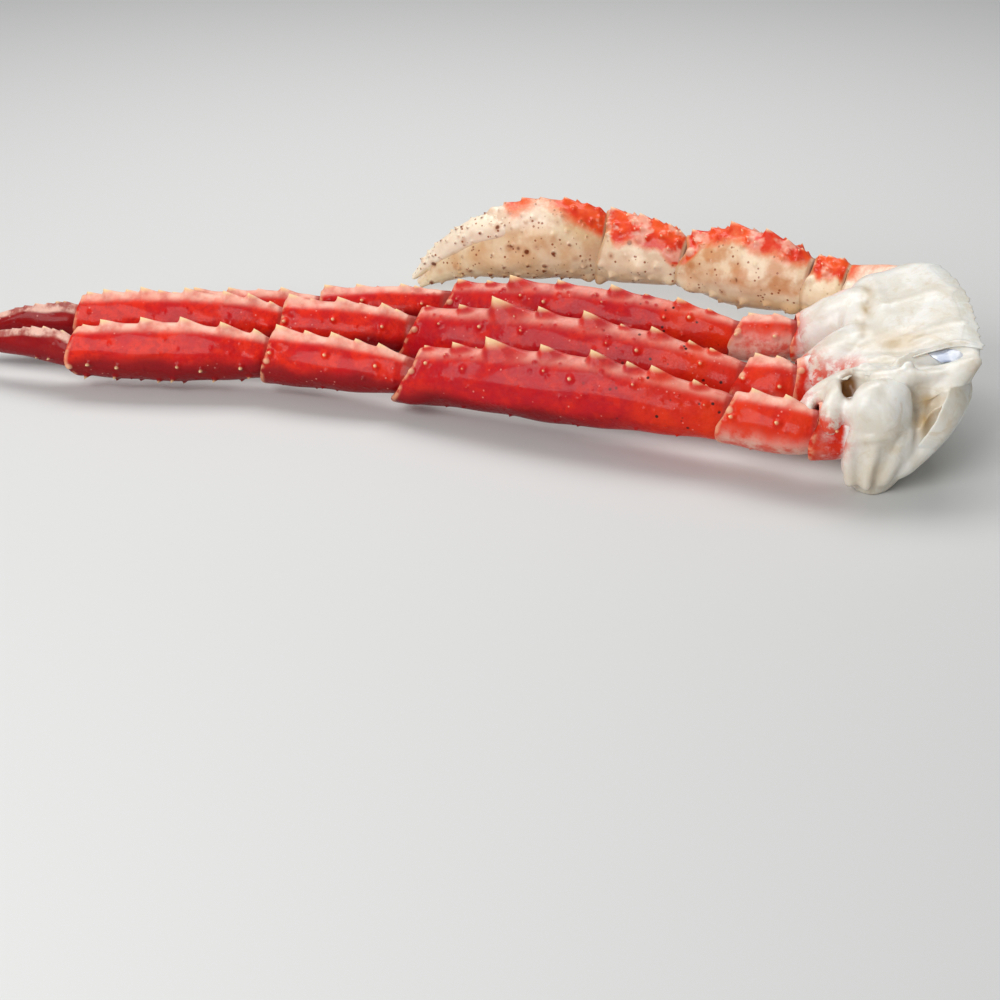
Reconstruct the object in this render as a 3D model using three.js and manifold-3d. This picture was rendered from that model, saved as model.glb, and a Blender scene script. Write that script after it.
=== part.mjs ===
// Red king crab, cooked: the leg cluster of one side. Three walking legs and the claw arm grow
// from the white shoulder, which was cut from the body along its midline.
// Millimetres, +Z up, legs towards -X, claw arm at the back (+Y), all on the floor at z = 0.
import * as THREE from "three";
import { mergeVertices } from "three/addons/utils/BufferGeometryUtils.js";
import Module from "manifold-3d";

const wasm = await Module();
wasm.setup();

// Driving dimensions
const GAP = 0.3; // between pieces that touch
const FOOTPRINT = { x: -24.5, y: 6.4 }; // middle of the whole outline on the floor, the part's origin
const SIDES = 12; // facets around a limb
const RINGS = 8; // sections along a limb piece
const ARCH = 3.5; // how far a long piece bows up at its middle
const FLOOR_SLAB = 1000; // block that trims what would reach below the floor

// Joint centres from the shoulder out to the tip: root, coxa end, ischium end and so on
const FRONT_LEG = {
  name: "leg_front",
  girth: 1.0,
  joints: [[194, -104, 30], [160, -107, 28], [120, -88, 26], [-43, -28, 20], [-119, -6, 20], [-226, 1, 20], [-294, 21, 15]],
};
const MIDDLE_LEG = {
  name: "leg_middle",
  girth: 1.04,
  joints: [[196, -52, 36], [158, -59, 28], [132, -46, 24], [-44, 22, 21], [-116, 34, 20], [-231, 41, 20], [-299, 40, 13]],
};
const BACK_LEG = {
  name: "leg_back",
  girth: 0.9,
  joints: [[198, -8, 38], [164, -7, 32], [134, 1, 28], [-26, 62, 20], [-99, 68.5, 12.5], [-197, 65, 9.5], [-258, 65, 6]],
};
const CLAW_ARM = {
  name: "claw",
  joints: [[225, 8, 52], [200, 30, 44], [180, 41, 42], [114, 80, 40], [67, 103, 40]],
};

// Height and width of each piece at even steps from its near end to its far end
const LEG_PIECES = {
  coxa: { height: [30, 31, 30, 29, 27], width: [26, 29, 28, 27, 25], arch: 0 },
  ischium: { height: [24, 27, 28, 28, 26], width: [22, 26, 27, 26, 24], arch: 0 },
  merus: { height: [24, 32, 36, 33, 29], width: [21, 27, 30, 28, 26], arch: ARCH },
  carpus: { height: [20, 25, 28, 29, 28], width: [18, 22, 25, 27, 26], arch: 1 },
  propodus: { height: [23, 29, 31, 30, 27], width: [20, 24, 26, 25, 21], arch: 1.5 },
  dactyl: { height: [19, 17.5, 14, 9.5, 3], width: [15, 13.5, 11, 7.5, 2.5], arch: 4 },
};
const ARM_PIECES = {
  coxa: { height: [26, 27, 27, 27, 26], width: [24, 25, 25, 25, 24], arch: 0 },
  ischium: { height: [27, 29, 30, 31, 30], width: [25, 27, 28, 28, 26], arch: 0 },
  merus: { height: [32, 39, 43, 39, 30], width: [27, 32, 34, 32, 26], arch: 2 },
  carpus: { height: [28, 33, 37, 39, 38], width: [24, 28, 31, 32, 30], arch: 1 },
};

// Rows of spines. angle: 90 is the crest, 0 the side towards -Y. from and to: share of the length.
const LEG_SPINES = {
  coxa: [{ angle: 20, from: 0.55, to: 0.85, count: 2, tall: 3, wide: 2.4 }],
  ischium: [
    { angle: 82, from: 0.3, to: 0.8, count: 2, tall: 4, wide: 2.6 },
    { angle: 15, from: 0.35, to: 0.8, count: 2, tall: 3, wide: 2.2 },
    { angle: 155, from: 0.35, to: 0.8, count: 2, tall: 3, wide: 2.2 },
  ],
  merus: [
    { angle: 90, from: 0.2, to: 0.91, count: 6, tall: 6.5, wide: 3.6 },
    { angle: 42, from: 0.16, to: 0.86, count: 5, tall: 3.6, wide: 2.8 },
    { angle: 138, from: 0.2, to: 0.9, count: 5, tall: 4, wide: 2.8 },
    { angle: 0, from: 0.25, to: 0.8, count: 4, tall: 2, wide: 2 },
    { angle: 180, from: 0.25, to: 0.8, count: 4, tall: 2, wide: 2 },
  ],
  carpus: [
    { angle: 90, from: 0.16, to: 0.88, count: 5, tall: 5.4, wide: 3.2 },
    { angle: 35, from: 0.3, to: 0.85, count: 3, tall: 3, wide: 2.4 },
    { angle: 145, from: 0.3, to: 0.85, count: 3, tall: 3, wide: 2.4 },
  ],
  propodus: [
    { angle: 90, from: 0.08, to: 0.92, count: 6, tall: 5.6, wide: 3.4 },
    { angle: -12, from: 0.12, to: 0.86, count: 5, tall: 2.6, wide: 2.2 },
    { angle: -48, from: 0.16, to: 0.9, count: 5, tall: 3.2, wide: 2.4 },
    { angle: 192, from: 0.12, to: 0.86, count: 5, tall: 2.6, wide: 2.2 },
    { angle: 228, from: 0.16, to: 0.9, count: 4, tall: 3.2, wide: 2.4 },
  ],
  dactyl: [
    { angle: 80, from: 0.12, to: 0.42, count: 3, tall: 2.2, wide: 1.8 },
    { angle: -28, from: 0.14, to: 0.4, count: 2, tall: 2.4, wide: 1.8 },
    { angle: 205, from: 0.14, to: 0.4, count: 2, tall: 2.4, wide: 1.8 },
  ],
};
const ARM_SPINES = {
  coxa: [],
  ischium: [{ angle: 88, from: 0.3, to: 0.75, count: 2, tall: 4.5, wide: 3 }],
  merus: [
    { angle: 92, from: 0.18, to: 0.85, count: 4, tall: 7, wide: 4 },
    { angle: 135, from: 0.2, to: 0.8, count: 3, tall: 5, wide: 3.4 },
    { angle: 30, from: 0.25, to: 0.8, count: 4, tall: 2, wide: 2.2 },
    { angle: -40, from: 0.3, to: 0.75, count: 3, tall: 4, wide: 3.2 },
  ],
  carpus: [
    { angle: 95, from: 0.2, to: 0.85, count: 4, tall: 6, wide: 3.6 },
    { angle: 60, from: 0.2, to: 0.8, count: 3, tall: 4, wide: 3 },
    { angle: 140, from: 0.25, to: 0.8, count: 3, tall: 4.5, wide: 3.2 },
    { angle: -25, from: 0.3, to: 0.75, count: 2, tall: 3.4, wide: 3.2 },
  ],
};

// Claw: the palm with its fixed lower finger, and the movable upper finger
const PALM = {
  joints: [[67, 103, 40], [38, 108, 42.5], [8, 112, 40]],
  height: [39, 44, 46, 46, 41],
  width: [29, 33, 35, 33, 27],
};
const FIXED_FINGER = {
  joints: [[22, 111, 34], [-16, 121, 20], [-43, 134, 2.6]],
  height: [36, 31, 24, 15, 6],
  width: [28, 25, 20, 13, 5],
};
const UPPER_FINGER = {
  joints: [[17, 109, 52], [-14, 119, 39], [-48, 136, 6.5]],
  height: [17, 18, 16, 12, 3.5],
  width: [24, 21, 17, 11, 4],
};
const PALM_SPINES = [
  { angle: 92, from: 0.15, to: 0.85, count: 4, tall: 4.5, wide: 3.2 },
  { angle: 68, from: 0.2, to: 0.8, count: 3, tall: 3, wide: 2.6 },
  { angle: 128, from: 0.2, to: 0.85, count: 4, tall: 4.5, wide: 3 },
  { angle: 5, from: 0.2, to: 0.85, count: 3, tall: 1.6, wide: 1.8 },
  { angle: -35, from: 0.2, to: 0.85, count: 3, tall: 1.8, wide: 1.8 },
];
const FINGER_SPINES = [
  { angle: 90, from: 0.2, to: 0.75, count: 4, tall: 2.4, wide: 2 },
  { angle: 30, from: 0.25, to: 0.75, count: 3, tall: 1.8, wide: 1.7 },
  { angle: 150, from: 0.25, to: 0.75, count: 3, tall: 1.8, wide: 1.7 },
];
const LOWER_FINGER_SPINES = [
  { angle: 0, from: 0.35, to: 0.8, count: 3, tall: 1.8, wide: 1.7 },
  { angle: -40, from: 0.3, to: 0.75, count: 3, tall: 1.8, wide: 1.7 },
];

// Shoulder sections from the hind end (front of the picture, -Y) to the fore end (+Y):
// left and right edge, height at the left and at the right, and how far the floor side reaches right
const SHOULDER = [
  { y: -121, left: 176, right: 214, low: 34, high: 44, base: 203 },
  { y: -112, left: 169, right: 230, low: 41, high: 53, base: 206 },
  { y: -95, left: 166, right: 242, low: 44, high: 61, base: 208 },
  { y: -65, left: 165, right: 247, low: 46, high: 66, base: 212 },
  { y: -30, left: 168, right: 247, low: 49, high: 71, base: 216 },
  { y: 0, left: 178, right: 241, low: 55, high: 73, base: 216 },
  { y: 20, left: 188, right: 226, low: 58, high: 66, base: 212 },
];
const MEAT_BULGE = { centre: [193, -114, 42], radii: [20, 11, 15] }; // round muscle in the last chamber
const CHAMBER_HOLLOW = { centre: [226, -118, 36], radii: [10, 11, 17] }; // emptied chamber beside it
const PLEURAL_RIM = { centre: [243, -40, 68], radii: [5, 44, 7] }; // broken top edge of the inner wall

const vec = (p) => new THREE.Vector3(...p);

// Smooth value of a list of even steps at share t, by a Catmull-Rom curve.
function along(values, t) {
  const last = values.length - 1;
  const step = Math.min(Math.floor(t * last), last - 1);
  const at = (i) => values[Math.max(0, Math.min(last, i))];
  const u = t * last - step;
  const [a, b, c, d] = [at(step - 1), at(step), at(step + 1), at(step + 2)];
  return 0.5 * (2 * b + (c - a) * u + (2 * a - 5 * b + 4 * c - d) * u * u + (3 * b - a - 3 * c + d) * u ** 3);
}

// A limb piece as a function of t (near end to far end) and of the angle round it.
// The end sections lie in the planes with the given normals, so neighbours meet face to face.
function limbSurface({ start, end, startNormal, endNormal, bend, height, width }) {
  const TURN = 0.22; // share of the length in which a section turns from the joint's plane
  const chord = end.clone().sub(start);
  const axis = chord.clone().normalize();
  const middle = start.clone().add(end).multiplyScalar(0.5).add(bend);
  const path = new THREE.QuadraticBezierCurve3(start, middle.multiplyScalar(2).sub(start.clone().add(end).multiplyScalar(0.5)), end);
  const frameAt = (t) => {
    const tangent = path.getTangent(t);
    const normal = tangent.clone();
    if (t < TURN) normal.lerpVectors(startNormal, tangent, THREE.MathUtils.smoothstep(t, 0, TURN));
    if (t > 1 - TURN) normal.lerpVectors(endNormal, tangent, THREE.MathUtils.smoothstep(1 - t, 0, TURN));
    normal.normalize();
    const up = new THREE.Vector3(0, 0, 1).addScaledVector(normal, -normal.z).normalize();
    const side = new THREE.Vector3().crossVectors(up, normal);
    return { centre: path.getPoint(t), up, side, tangent };
  };
  const frontSign = Math.sign(new THREE.Vector3().crossVectors(new THREE.Vector3(0, 0, 1), axis).y) || 1;
  const point = (t, angle) => {
    const { centre, up, side } = frameAt(t);
    const crest = 1 + 0.06 * Math.max(0, Math.sin(angle)) ** 6;
    return centre
      .addScaledVector(side, -frontSign * Math.cos(angle) * along(width, t) * 0.5)
      .addScaledVector(up, Math.sin(angle) * along(height, t) * 0.5 * crest);
  };
  return { point, frameAt, outward: frontSign };
}

// Triangles between rings of points, with a fan over each end.
function ringSolid(rings) {
  const count = rings[0].length;
  const positions = [];
  const faces = [];
  rings.flat().forEach((p) => positions.push(p.x, p.y, p.z));
  const index = (r, i) => r * count + ((i + count) % count);
  for (let r = 0; r + 1 < rings.length; r++)
    for (let i = 0; i < count; i++) {
      faces.push(index(r, i), index(r, i + 1), index(r + 1, i + 1));
      faces.push(index(r, i), index(r + 1, i + 1), index(r + 1, i));
    }
  [0, rings.length - 1].forEach((r) => {
    const centre = rings[r].reduce((sum, p) => sum.add(p), new THREE.Vector3()).divideScalar(count);
    const hub = positions.length / 3;
    positions.push(centre.x, centre.y, centre.z);
    for (let i = 0; i < count; i++)
      faces.push(...(r === 0 ? [hub, index(r, i + 1), index(r, i)] : [hub, index(r, i), index(r, i + 1)]));
  });
  return solidOf(positions, faces);
}

// A closed solid, turned right side out if its faces point in.
function solidOf(positions, faces) {
  const make = (order) =>
    new wasm.Manifold(
      new wasm.Mesh({ numProp: 3, vertProperties: new Float32Array(positions), triVerts: new Uint32Array(order) }),
    );
  const made = make(faces);
  return made.volume() > 0 ? made : make([...faces].reverse());
}

// The solid of one three.js geometry.
function fromGeometry(geometry) {
  const bare = geometry.clone();
  bare.deleteAttribute("normal");
  bare.deleteAttribute("uv");
  const merged = mergeVertices(bare, 1e-4);
  return solidOf(Array.from(merged.attributes.position.array), Array.from(merged.index.array));
}

function limbSolid(surface, { rings = RINGS, sides = SIDES, swell = 0 } = {}) {
  const list = [];
  for (let r = 0; r <= rings; r++) {
    const t = r / rings;
    const { centre } = surface.frameAt(t);
    const ring = [];
    for (let i = 0; i < sides; i++) {
      const p = surface.point(t, (i / sides) * 2 * Math.PI);
      const out = p.clone().sub(centre).normalize();
      ring.push(p.addScaledVector(out, swell));
    }
    list.push(ring);
  }
  return ringSolid(list);
}

// A spine: a five-sided cone, its root sunk in the shell, that leans towards the far end.
function spine(surface, t, angle, tall, wide, swell) {
  const LEAN = 0.5;
  const { centre, tangent } = surface.frameAt(t);
  const foot = surface.point(t, angle);
  const out = foot.clone().sub(centre).normalize();
  const axis = out.clone().addScaledVector(tangent, LEAN).normalize();
  const sink = wide * 0.6 + 1.2;
  const tip = tall + 4 * swell;
  const cone = new THREE.ConeGeometry(wide + 1.5 * swell, tip + sink, 5);
  cone.applyQuaternion(new THREE.Quaternion().setFromUnitVectors(new THREE.Vector3(0, 1, 0), axis));
  const middle = foot.addScaledVector(axis, (tip - sink) / 2);
  cone.translate(middle.x, middle.y, middle.z);
  return { solid: fromGeometry(cone), low: middle.z + (axis.z * (tip + sink)) / 2 };
}

// The spines of every row, unevenly spaced and sized as real ones are, without those under the floor.
// swell makes each one larger all round, for the room that a neighbour leaves for it.
function spineRows(surface, rows, girth, swell = 0) {
  const CLEAR = 2;
  return rows.flatMap(({ angle, from, to, count, tall, wide }, row) =>
    Array.from({ length: count }, (_, i) => {
      const wobble = Math.sin(i * 2.3 + row * 1.7);
      const t = from + ((to - from) * (i + 0.22 * wobble * (count > 2))) / Math.max(1, count - 1);
      const turn = THREE.MathUtils.degToRad(angle + 5 * Math.sin(i * 3.1 + row));
      const size = girth * (1 + 0.18 * Math.sin(i * 1.9 + row * 2.1));
      return spine(surface, THREE.MathUtils.clamp(t, 0.06, 0.94), turn, tall * size, wide * girth, swell);
    }),
  )
    .filter(({ low }) => low > CLEAR)
    .map(({ solid }) => solid);
}

// The room that a neighbour leaves for a limb piece: the piece, its gap all round and past both its ends.
function roomFor(surface, rows) {
  const bed = limbSolid(surface, { swell: GAP });
  const moved = (t, way) => bed.translate(surface.frameAt(t).tangent.multiplyScalar(way * GAP).toArray());
  return [moved(0, -1), moved(1, 1), ...spineRows(surface, rows, 1, GAP)].reduce((sum, room) => sum.add(room), bed);
}

const floorSlab = fromGeometry(new THREE.BoxGeometry(FLOOR_SLAB, FLOOR_SLAB, FLOOR_SLAB).translate(0, 0, -FLOOR_SLAB / 2));

// One closed body: the joined pieces, trimmed at the floor, without any loose scrap.
function joined(pieces, cuts = []) {
  const whole = pieces.reduce((sum, piece) => sum.add(piece));
  const trimmed = cuts.reduce((left, cut) => left.subtract(cut), whole).subtract(floorSlab);
  return trimmed.decompose().reduce((best, body) => (body.volume() > best.volume() ? body : best));
}

function node(name, solid, material) {
  const { vertProperties, triVerts } = solid.getMesh();
  const geometry = new THREE.BufferGeometry();
  geometry.setAttribute("position", new THREE.BufferAttribute(vertProperties, 3));
  geometry.setIndex(new THREE.BufferAttribute(triVerts, 1));
  const mesh = new THREE.Mesh(geometry, material);
  mesh.name = name;
  return mesh;
}

// Materials
const redShell = new THREE.MeshStandardMaterial({ color: 0xc8281c, roughness: 0.3, metalness: 0 });
const creamShell = new THREE.MeshStandardMaterial({ color: 0xd9b98c, roughness: 0.45, metalness: 0 });
const whiteMeat = new THREE.MeshStandardMaterial({ color: 0xe9e4d6, roughness: 0.4, metalness: 0 });
const hornTip = new THREE.MeshStandardMaterial({ color: 0x8f2a1a, roughness: 0.3, metalness: 0 });

// Normal of the plane in which the pieces before and after joint i meet.
function jointNormal(points, i) {
  const before = points[i].clone().sub(points[Math.max(0, i - 1)]);
  const after = points[Math.min(points.length - 1, i + 1)].clone().sub(points[i]);
  return before.normalize().add(after.normalize()).normalize();
}

// The pieces of one limb from its coxa outwards, each on the joint planes that it shares.
function limb({ name, joints, girth = 1 }, pieces, spines, materialOf, endNormal) {
  const points = joints.map(vec);
  return Object.entries(pieces).map(([piece, { height, width, arch }], i) => {
    const startNormal = jointNormal(points, i);
    const isLast = i + 2 === points.length;
    const farNormal = isLast && endNormal ? endNormal : jointNormal(points, i + 1);
    const surface = limbSurface({
      start: points[i].clone().addScaledVector(startNormal, GAP / 2),
      end: points[i + 1].clone().addScaledVector(farNormal, -GAP / 2),
      startNormal,
      endNormal: farNormal,
      bend: new THREE.Vector3(0, 0, arch),
      height: height.map((h) => h * girth),
      width: width.map((w) => w * girth),
    });
    const solid = joined([limbSolid(surface), ...spineRows(surface, spines[piece], girth)]);
    return { name: `${name}_${piece}`, surface, solid, material: materialOf(piece) };
  });
}

// Walking legs
const legMaterial = (piece) => (piece === "dactyl" ? hornTip : redShell);
const legs = [BACK_LEG, MIDDLE_LEG, FRONT_LEG].flatMap((leg) => limb(leg, LEG_PIECES, LEG_SPINES, legMaterial));

// Claw arm, up to the wrist
const wristNormal = vec(PALM.joints[1]).sub(vec(CLAW_ARM.joints[3])).normalize();
const arm = limb(CLAW_ARM, ARM_PIECES, ARM_SPINES, () => creamShell, wristNormal);

// Palm, fixed finger and movable finger
function fingerSurface({ joints, height, width }, startNormal) {
  const [start, middle, end] = joints.map(vec);
  const bend = middle.clone().sub(start.clone().add(end).multiplyScalar(0.5));
  const endNormal = end.clone().sub(middle).normalize();
  return limbSurface({ start, end, startNormal: startNormal ?? middle.clone().sub(start).normalize(), endNormal, bend, height, width });
}
const palmJoints = PALM.joints.map(vec);
palmJoints[0].addScaledVector(wristNormal, GAP / 2);
const palmSurface = fingerSurface({ ...PALM, joints: palmJoints.map((p) => p.toArray()) }, wristNormal);
const fixedSurface = fingerSurface(FIXED_FINGER);
const upperSurface = fingerSurface(UPPER_FINGER);
const upperFinger = joined([limbSolid(upperSurface), ...spineRows(upperSurface, FINGER_SPINES, 1)]);
const palm = joined(
  [
    limbSolid(palmSurface),
    limbSolid(fixedSurface),
    ...spineRows(palmSurface, PALM_SPINES, 1),
    ...spineRows(fixedSurface, LOWER_FINGER_SPINES, 1),
  ],
  [roomFor(upperSurface, FINGER_SPINES)],
);

// Shoulder: a loft of rounded sections with a socket for each coxa
function shoulderRing({ y, left, right, low, high, base }) {
  const corners = [
    [left + 6, -4],
    [base, -4],
    [right - 4, high * 0.45],
    [right, high],
    [(left + right) / 2, (low + high) / 2 + 2],
    [left + 3, low],
    [left, low * 0.5],
  ];
  const curve = new THREE.CatmullRomCurve3(corners.map(([x, z]) => new THREE.Vector3(x, y, z)), true, "catmullrom", 0.5);
  return curve.getPoints(21).slice(0, 21);
}
const ellipsoid = ({ centre, radii }) =>
  fromGeometry(new THREE.SphereGeometry(1, 14, 10).scale(...radii).translate(...centre));
const rooted = ["leg_back_coxa", "leg_middle_coxa", "leg_front_coxa", "claw_coxa", "claw_ischium"];
const sockets = [...legs, ...arm]
  .filter(({ name }) => rooted.includes(name))
  .map(({ surface }) => roomFor(surface, LEG_SPINES.coxa));
const shoulder = joined(
  [ringSolid(SHOULDER.map(shoulderRing)), ellipsoid(MEAT_BULGE), ellipsoid(PLEURAL_RIM)],
  [...sockets, ellipsoid(CHAMBER_HOLLOW)],
);

// Assembly
const cluster = new THREE.Group();
cluster.position.set(-FOOTPRINT.x, -FOOTPRINT.y, 0);
cluster.add(node("shoulder", shoulder, whiteMeat));
[...legs, ...arm].forEach(({ name, solid, material }) => cluster.add(node(name, solid, material)));
cluster.add(node("claw_palm", palm, creamShell));
cluster.add(node("claw_finger", upperFinger, creamShell));
const crab = new THREE.Group();
crab.add(cluster);
export default crab;
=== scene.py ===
"""Red king crab, cooked: the leg cluster of one side, three walking legs and the claw arm on the shoulder.

Lengths are millimetres on the axes of the part's source: legs towards -X, claw arm at +Y, table at z = 0.
MOVE takes the middle of the outline to the frame's origin, and SCALE makes metres of them.
"""
import bpy
import math
import numpy as np
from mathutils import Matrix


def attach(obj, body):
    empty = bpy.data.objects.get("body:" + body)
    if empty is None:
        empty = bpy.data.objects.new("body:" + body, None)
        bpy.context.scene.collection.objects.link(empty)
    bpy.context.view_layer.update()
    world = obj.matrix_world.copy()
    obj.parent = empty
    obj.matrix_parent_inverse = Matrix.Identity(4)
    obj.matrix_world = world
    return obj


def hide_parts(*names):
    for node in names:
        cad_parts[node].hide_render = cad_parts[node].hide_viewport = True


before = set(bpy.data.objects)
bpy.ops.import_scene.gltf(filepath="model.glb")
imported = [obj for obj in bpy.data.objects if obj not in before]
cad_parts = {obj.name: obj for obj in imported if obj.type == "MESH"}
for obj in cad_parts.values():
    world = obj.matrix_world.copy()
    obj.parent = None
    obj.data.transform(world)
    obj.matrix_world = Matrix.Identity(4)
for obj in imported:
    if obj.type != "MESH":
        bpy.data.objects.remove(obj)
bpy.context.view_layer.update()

# Camera: a 65 mm lens a metre away, looking 30 degrees down onto the row of legs. Its place and angle
# come from the lines of the legs and the heights of the shoulder.
MOVE = np.array([24.5, -6.4, 0.0])
SCALE = 0.001
VIEW_ANGLE = 31
LOOK_DOWN = 30
EYE = np.array([5.5, -890.1, 441.5])
camera_data = bpy.data.cameras.new("camera")
camera_data.sensor_width = 36
camera_data.lens = camera_data.sensor_width / 2 / math.tan(math.radians(VIEW_ANGLE / 2))
camera = bpy.data.objects.new("camera", camera_data)
camera.location = (EYE + MOVE) * SCALE
camera.rotation_euler = (math.radians(90 - LOOK_DOWN), 0, 0)
bpy.context.scene.collection.objects.link(camera)
bpy.context.scene.camera = camera


# Walking legs: six tubes of shell in a row, hinged end to end, from the coxa in the shoulder to the
# dactyl at the tip. Each is one closed skin with its spines grown out of it. Its near end is a narrow
# neck that sits in the socket of the piece before, and its far end is a rolled rim round a socket.
FRONT_LEG = [[194, -104, 30], [160, -107, 28], [120, -88, 26], [-43, -28, 20], [-119, -6, 20],
             [-226, 1, 20], [-294, 21, 15]]
MIDDLE_LEG = [[196, -52, 36], [158, -59, 28], [132, -46, 24], [-44, 22, 21], [-116, 34, 20],
              [-231, 41, 20], [-299, 40, 13]]
BACK_LEG = [[198, -8, 38], [164, -7, 32], [134, 1, 28], [-26, 62, 20], [-99, 68.5, 12.5],
            [-197, 65, 9.5], [-258, 65, 6]]
LEGS = {"back": (BACK_LEG, 0.9), "middle": (MIDDLE_LEG, 1.04), "front": (FRONT_LEG, 1.0)}
LEG_KINDS = ["coxa", "ischium", "merus", "carpus", "propodus", "dactyl"]
LEG_HEIGHT = {
    "coxa": [30, 31, 30, 29, 27],
    "ischium": [24, 27, 28, 28, 26],
    "merus": [24, 32, 36, 33, 29],
    "carpus": [20, 25, 28, 29, 28],
    "propodus": [23, 29, 31, 30, 27],
    "dactyl": [19, 17.5, 14, 9.5, 3],
}
LEG_WIDTH = {
    "coxa": [26, 29, 28, 27, 25],
    "ischium": [22, 26, 27, 26, 24],
    "merus": [21, 27, 30, 28, 26],
    "carpus": [18, 22, 25, 27, 26],
    "propodus": [20, 24, 26, 25, 21],
    "dactyl": [15, 13.5, 11, 7.5, 2.5],
}
LEG_ARCH = {"coxa": 0, "ischium": 0, "merus": 3.5, "carpus": 1, "propodus": 1.5, "dactyl": 4}
# How far the rim reaches past the joint's plane, at every 45 degrees from the near side (0) over the
# crest (90): the crest is cut back so that the leg can bend, and a lobe juts out low on both sides.
LEG_EDGE = {
    "coxa": [2, -1, -2, -1, 2, 2, 0, 2],
    "ischium": [3, -1.5, -4, -1.5, 3, 3, -1, 3],
    "merus": [0, -6, -7.5, -6, 0, 6, -3, 6],
    "carpus": [1, -2, -3, -2, 1, 2.5, -1, 2.5],
    "propodus": [2, -1, -4, -1, 2, -1, -5, -1],
    "dactyl": [0, 0, 0, 0, 0, 0, 0, 0],
}
# Millimetres before the rim over which that reach grows
EDGE_RUN = 16
# Crest teeth, read off the legs one by one: (share of the length, height)
CREST = {
    ("back", "ischium"): [(0.3, 1.6), (0.8, 2.4)],
    ("middle", "ischium"): [(0.3, 2), (0.75, 2.6)],
    ("front", "ischium"): [(0.32, 3), (0.7, 3.4)],
    ("back", "merus"): [(0.09, 1.8), (0.19, 3.8), (0.3, 1.6), (0.405, 4.4), (0.586, 3.2), (0.74, 5),
                        (0.83, 2.2), (0.962, 3.4)],
    ("middle", "merus"): [(0.09, 2), (0.155, 2.8), (0.26, 4), (0.35, 1.8), (0.45, 5.6), (0.587, 4),
                          (0.715, 8), (0.83, 3), (0.965, 1.6)],
    ("front", "merus"): [(0.1, 3), (0.225, 4.4), (0.3, 3.6), (0.405, 5.4), (0.556, 4.6), (0.716, 7.6),
                         (0.83, 4), (0.965, 1.8)],
    ("back", "carpus"): [(0.21, 2), (0.31, 2.6), (0.65, 2.8), (0.93, 3.6)],
    ("middle", "carpus"): [(0.1, 2), (0.2, 4), (0.38, 1.4), (0.53, 3.6), (0.75, 1.6), (0.94, 4)],
    ("front", "carpus"): [(0.19, 3.4), (0.36, 2.6), (0.52, 4), (0.71, 3), (0.93, 4.6)],
    ("back", "propodus"): [(0.2, 3.4), (0.34, 1.4), (0.5, 3), (0.69, 3.6), (0.82, 2.6), (0.955, 2)],
    ("middle", "propodus"): [(0.05, 2), (0.15, 3.8), (0.27, 3.4), (0.45, 3.6), (0.58, 2.4), (0.66, 4),
                             (0.74, 2.2), (0.84, 3.4), (0.955, 2.6)],
    ("front", "propodus"): [(0.06, 3.8), (0.23, 4.2), (0.42, 4.2), (0.62, 4.2), (0.825, 3.8), (0.955, 1.8)],
    ("back", "dactyl"): [(0.12, 1.2), (0.2, 0.9), (0.29, 1.1), (0.38, 0.8)],
    ("middle", "dactyl"): [(0.1, 1.5), (0.17, 1.7), (0.25, 1.2), (0.33, 1.5), (0.42, 1), (0.5, 0.7)],
    ("front", "dactyl"): [(0.08, 1.7), (0.16, 1.3), (0.24, 1.7), (0.33, 1.3), (0.41, 1.1), (0.5, 0.7)],
}
# Round knobs and lobes: (angle, share, height, half length, half width). The knobs are the hinge's
# bearings at the rim; the lobes are where the shell swells beside the joint, and keep its colour.
KNOBS = {
    "coxa": [(60, 0.97, 1.2, 3, 3)],
    "ischium": [(40, 0.98, 1.2, 3, 3), (140, 0.98, 1.2, 3, 3)],
    "merus": [(34, 0.992, 1.8, 3, 2.6), (146, 0.992, 1.8, 3, 2.6), (-30, 0.95, 2.6, 14, 8),
              (210, 0.95, 2.6, 14, 8)],
    "carpus": [(18, 0.985, 1.5, 3, 2.6), (162, 0.985, 1.5, 3, 2.6), (58, 0.9, 1.4, 6, 5.2)],
    "propodus": [(-14, 0.99, 1.6, 3, 2.8), (194, 0.99, 1.6, 3, 2.8), (20, 0.05, 1.2, 7, 5.2)],
    "dactyl": [],
}
# Half width from which a knob is a lobe
LOBE = 5
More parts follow.
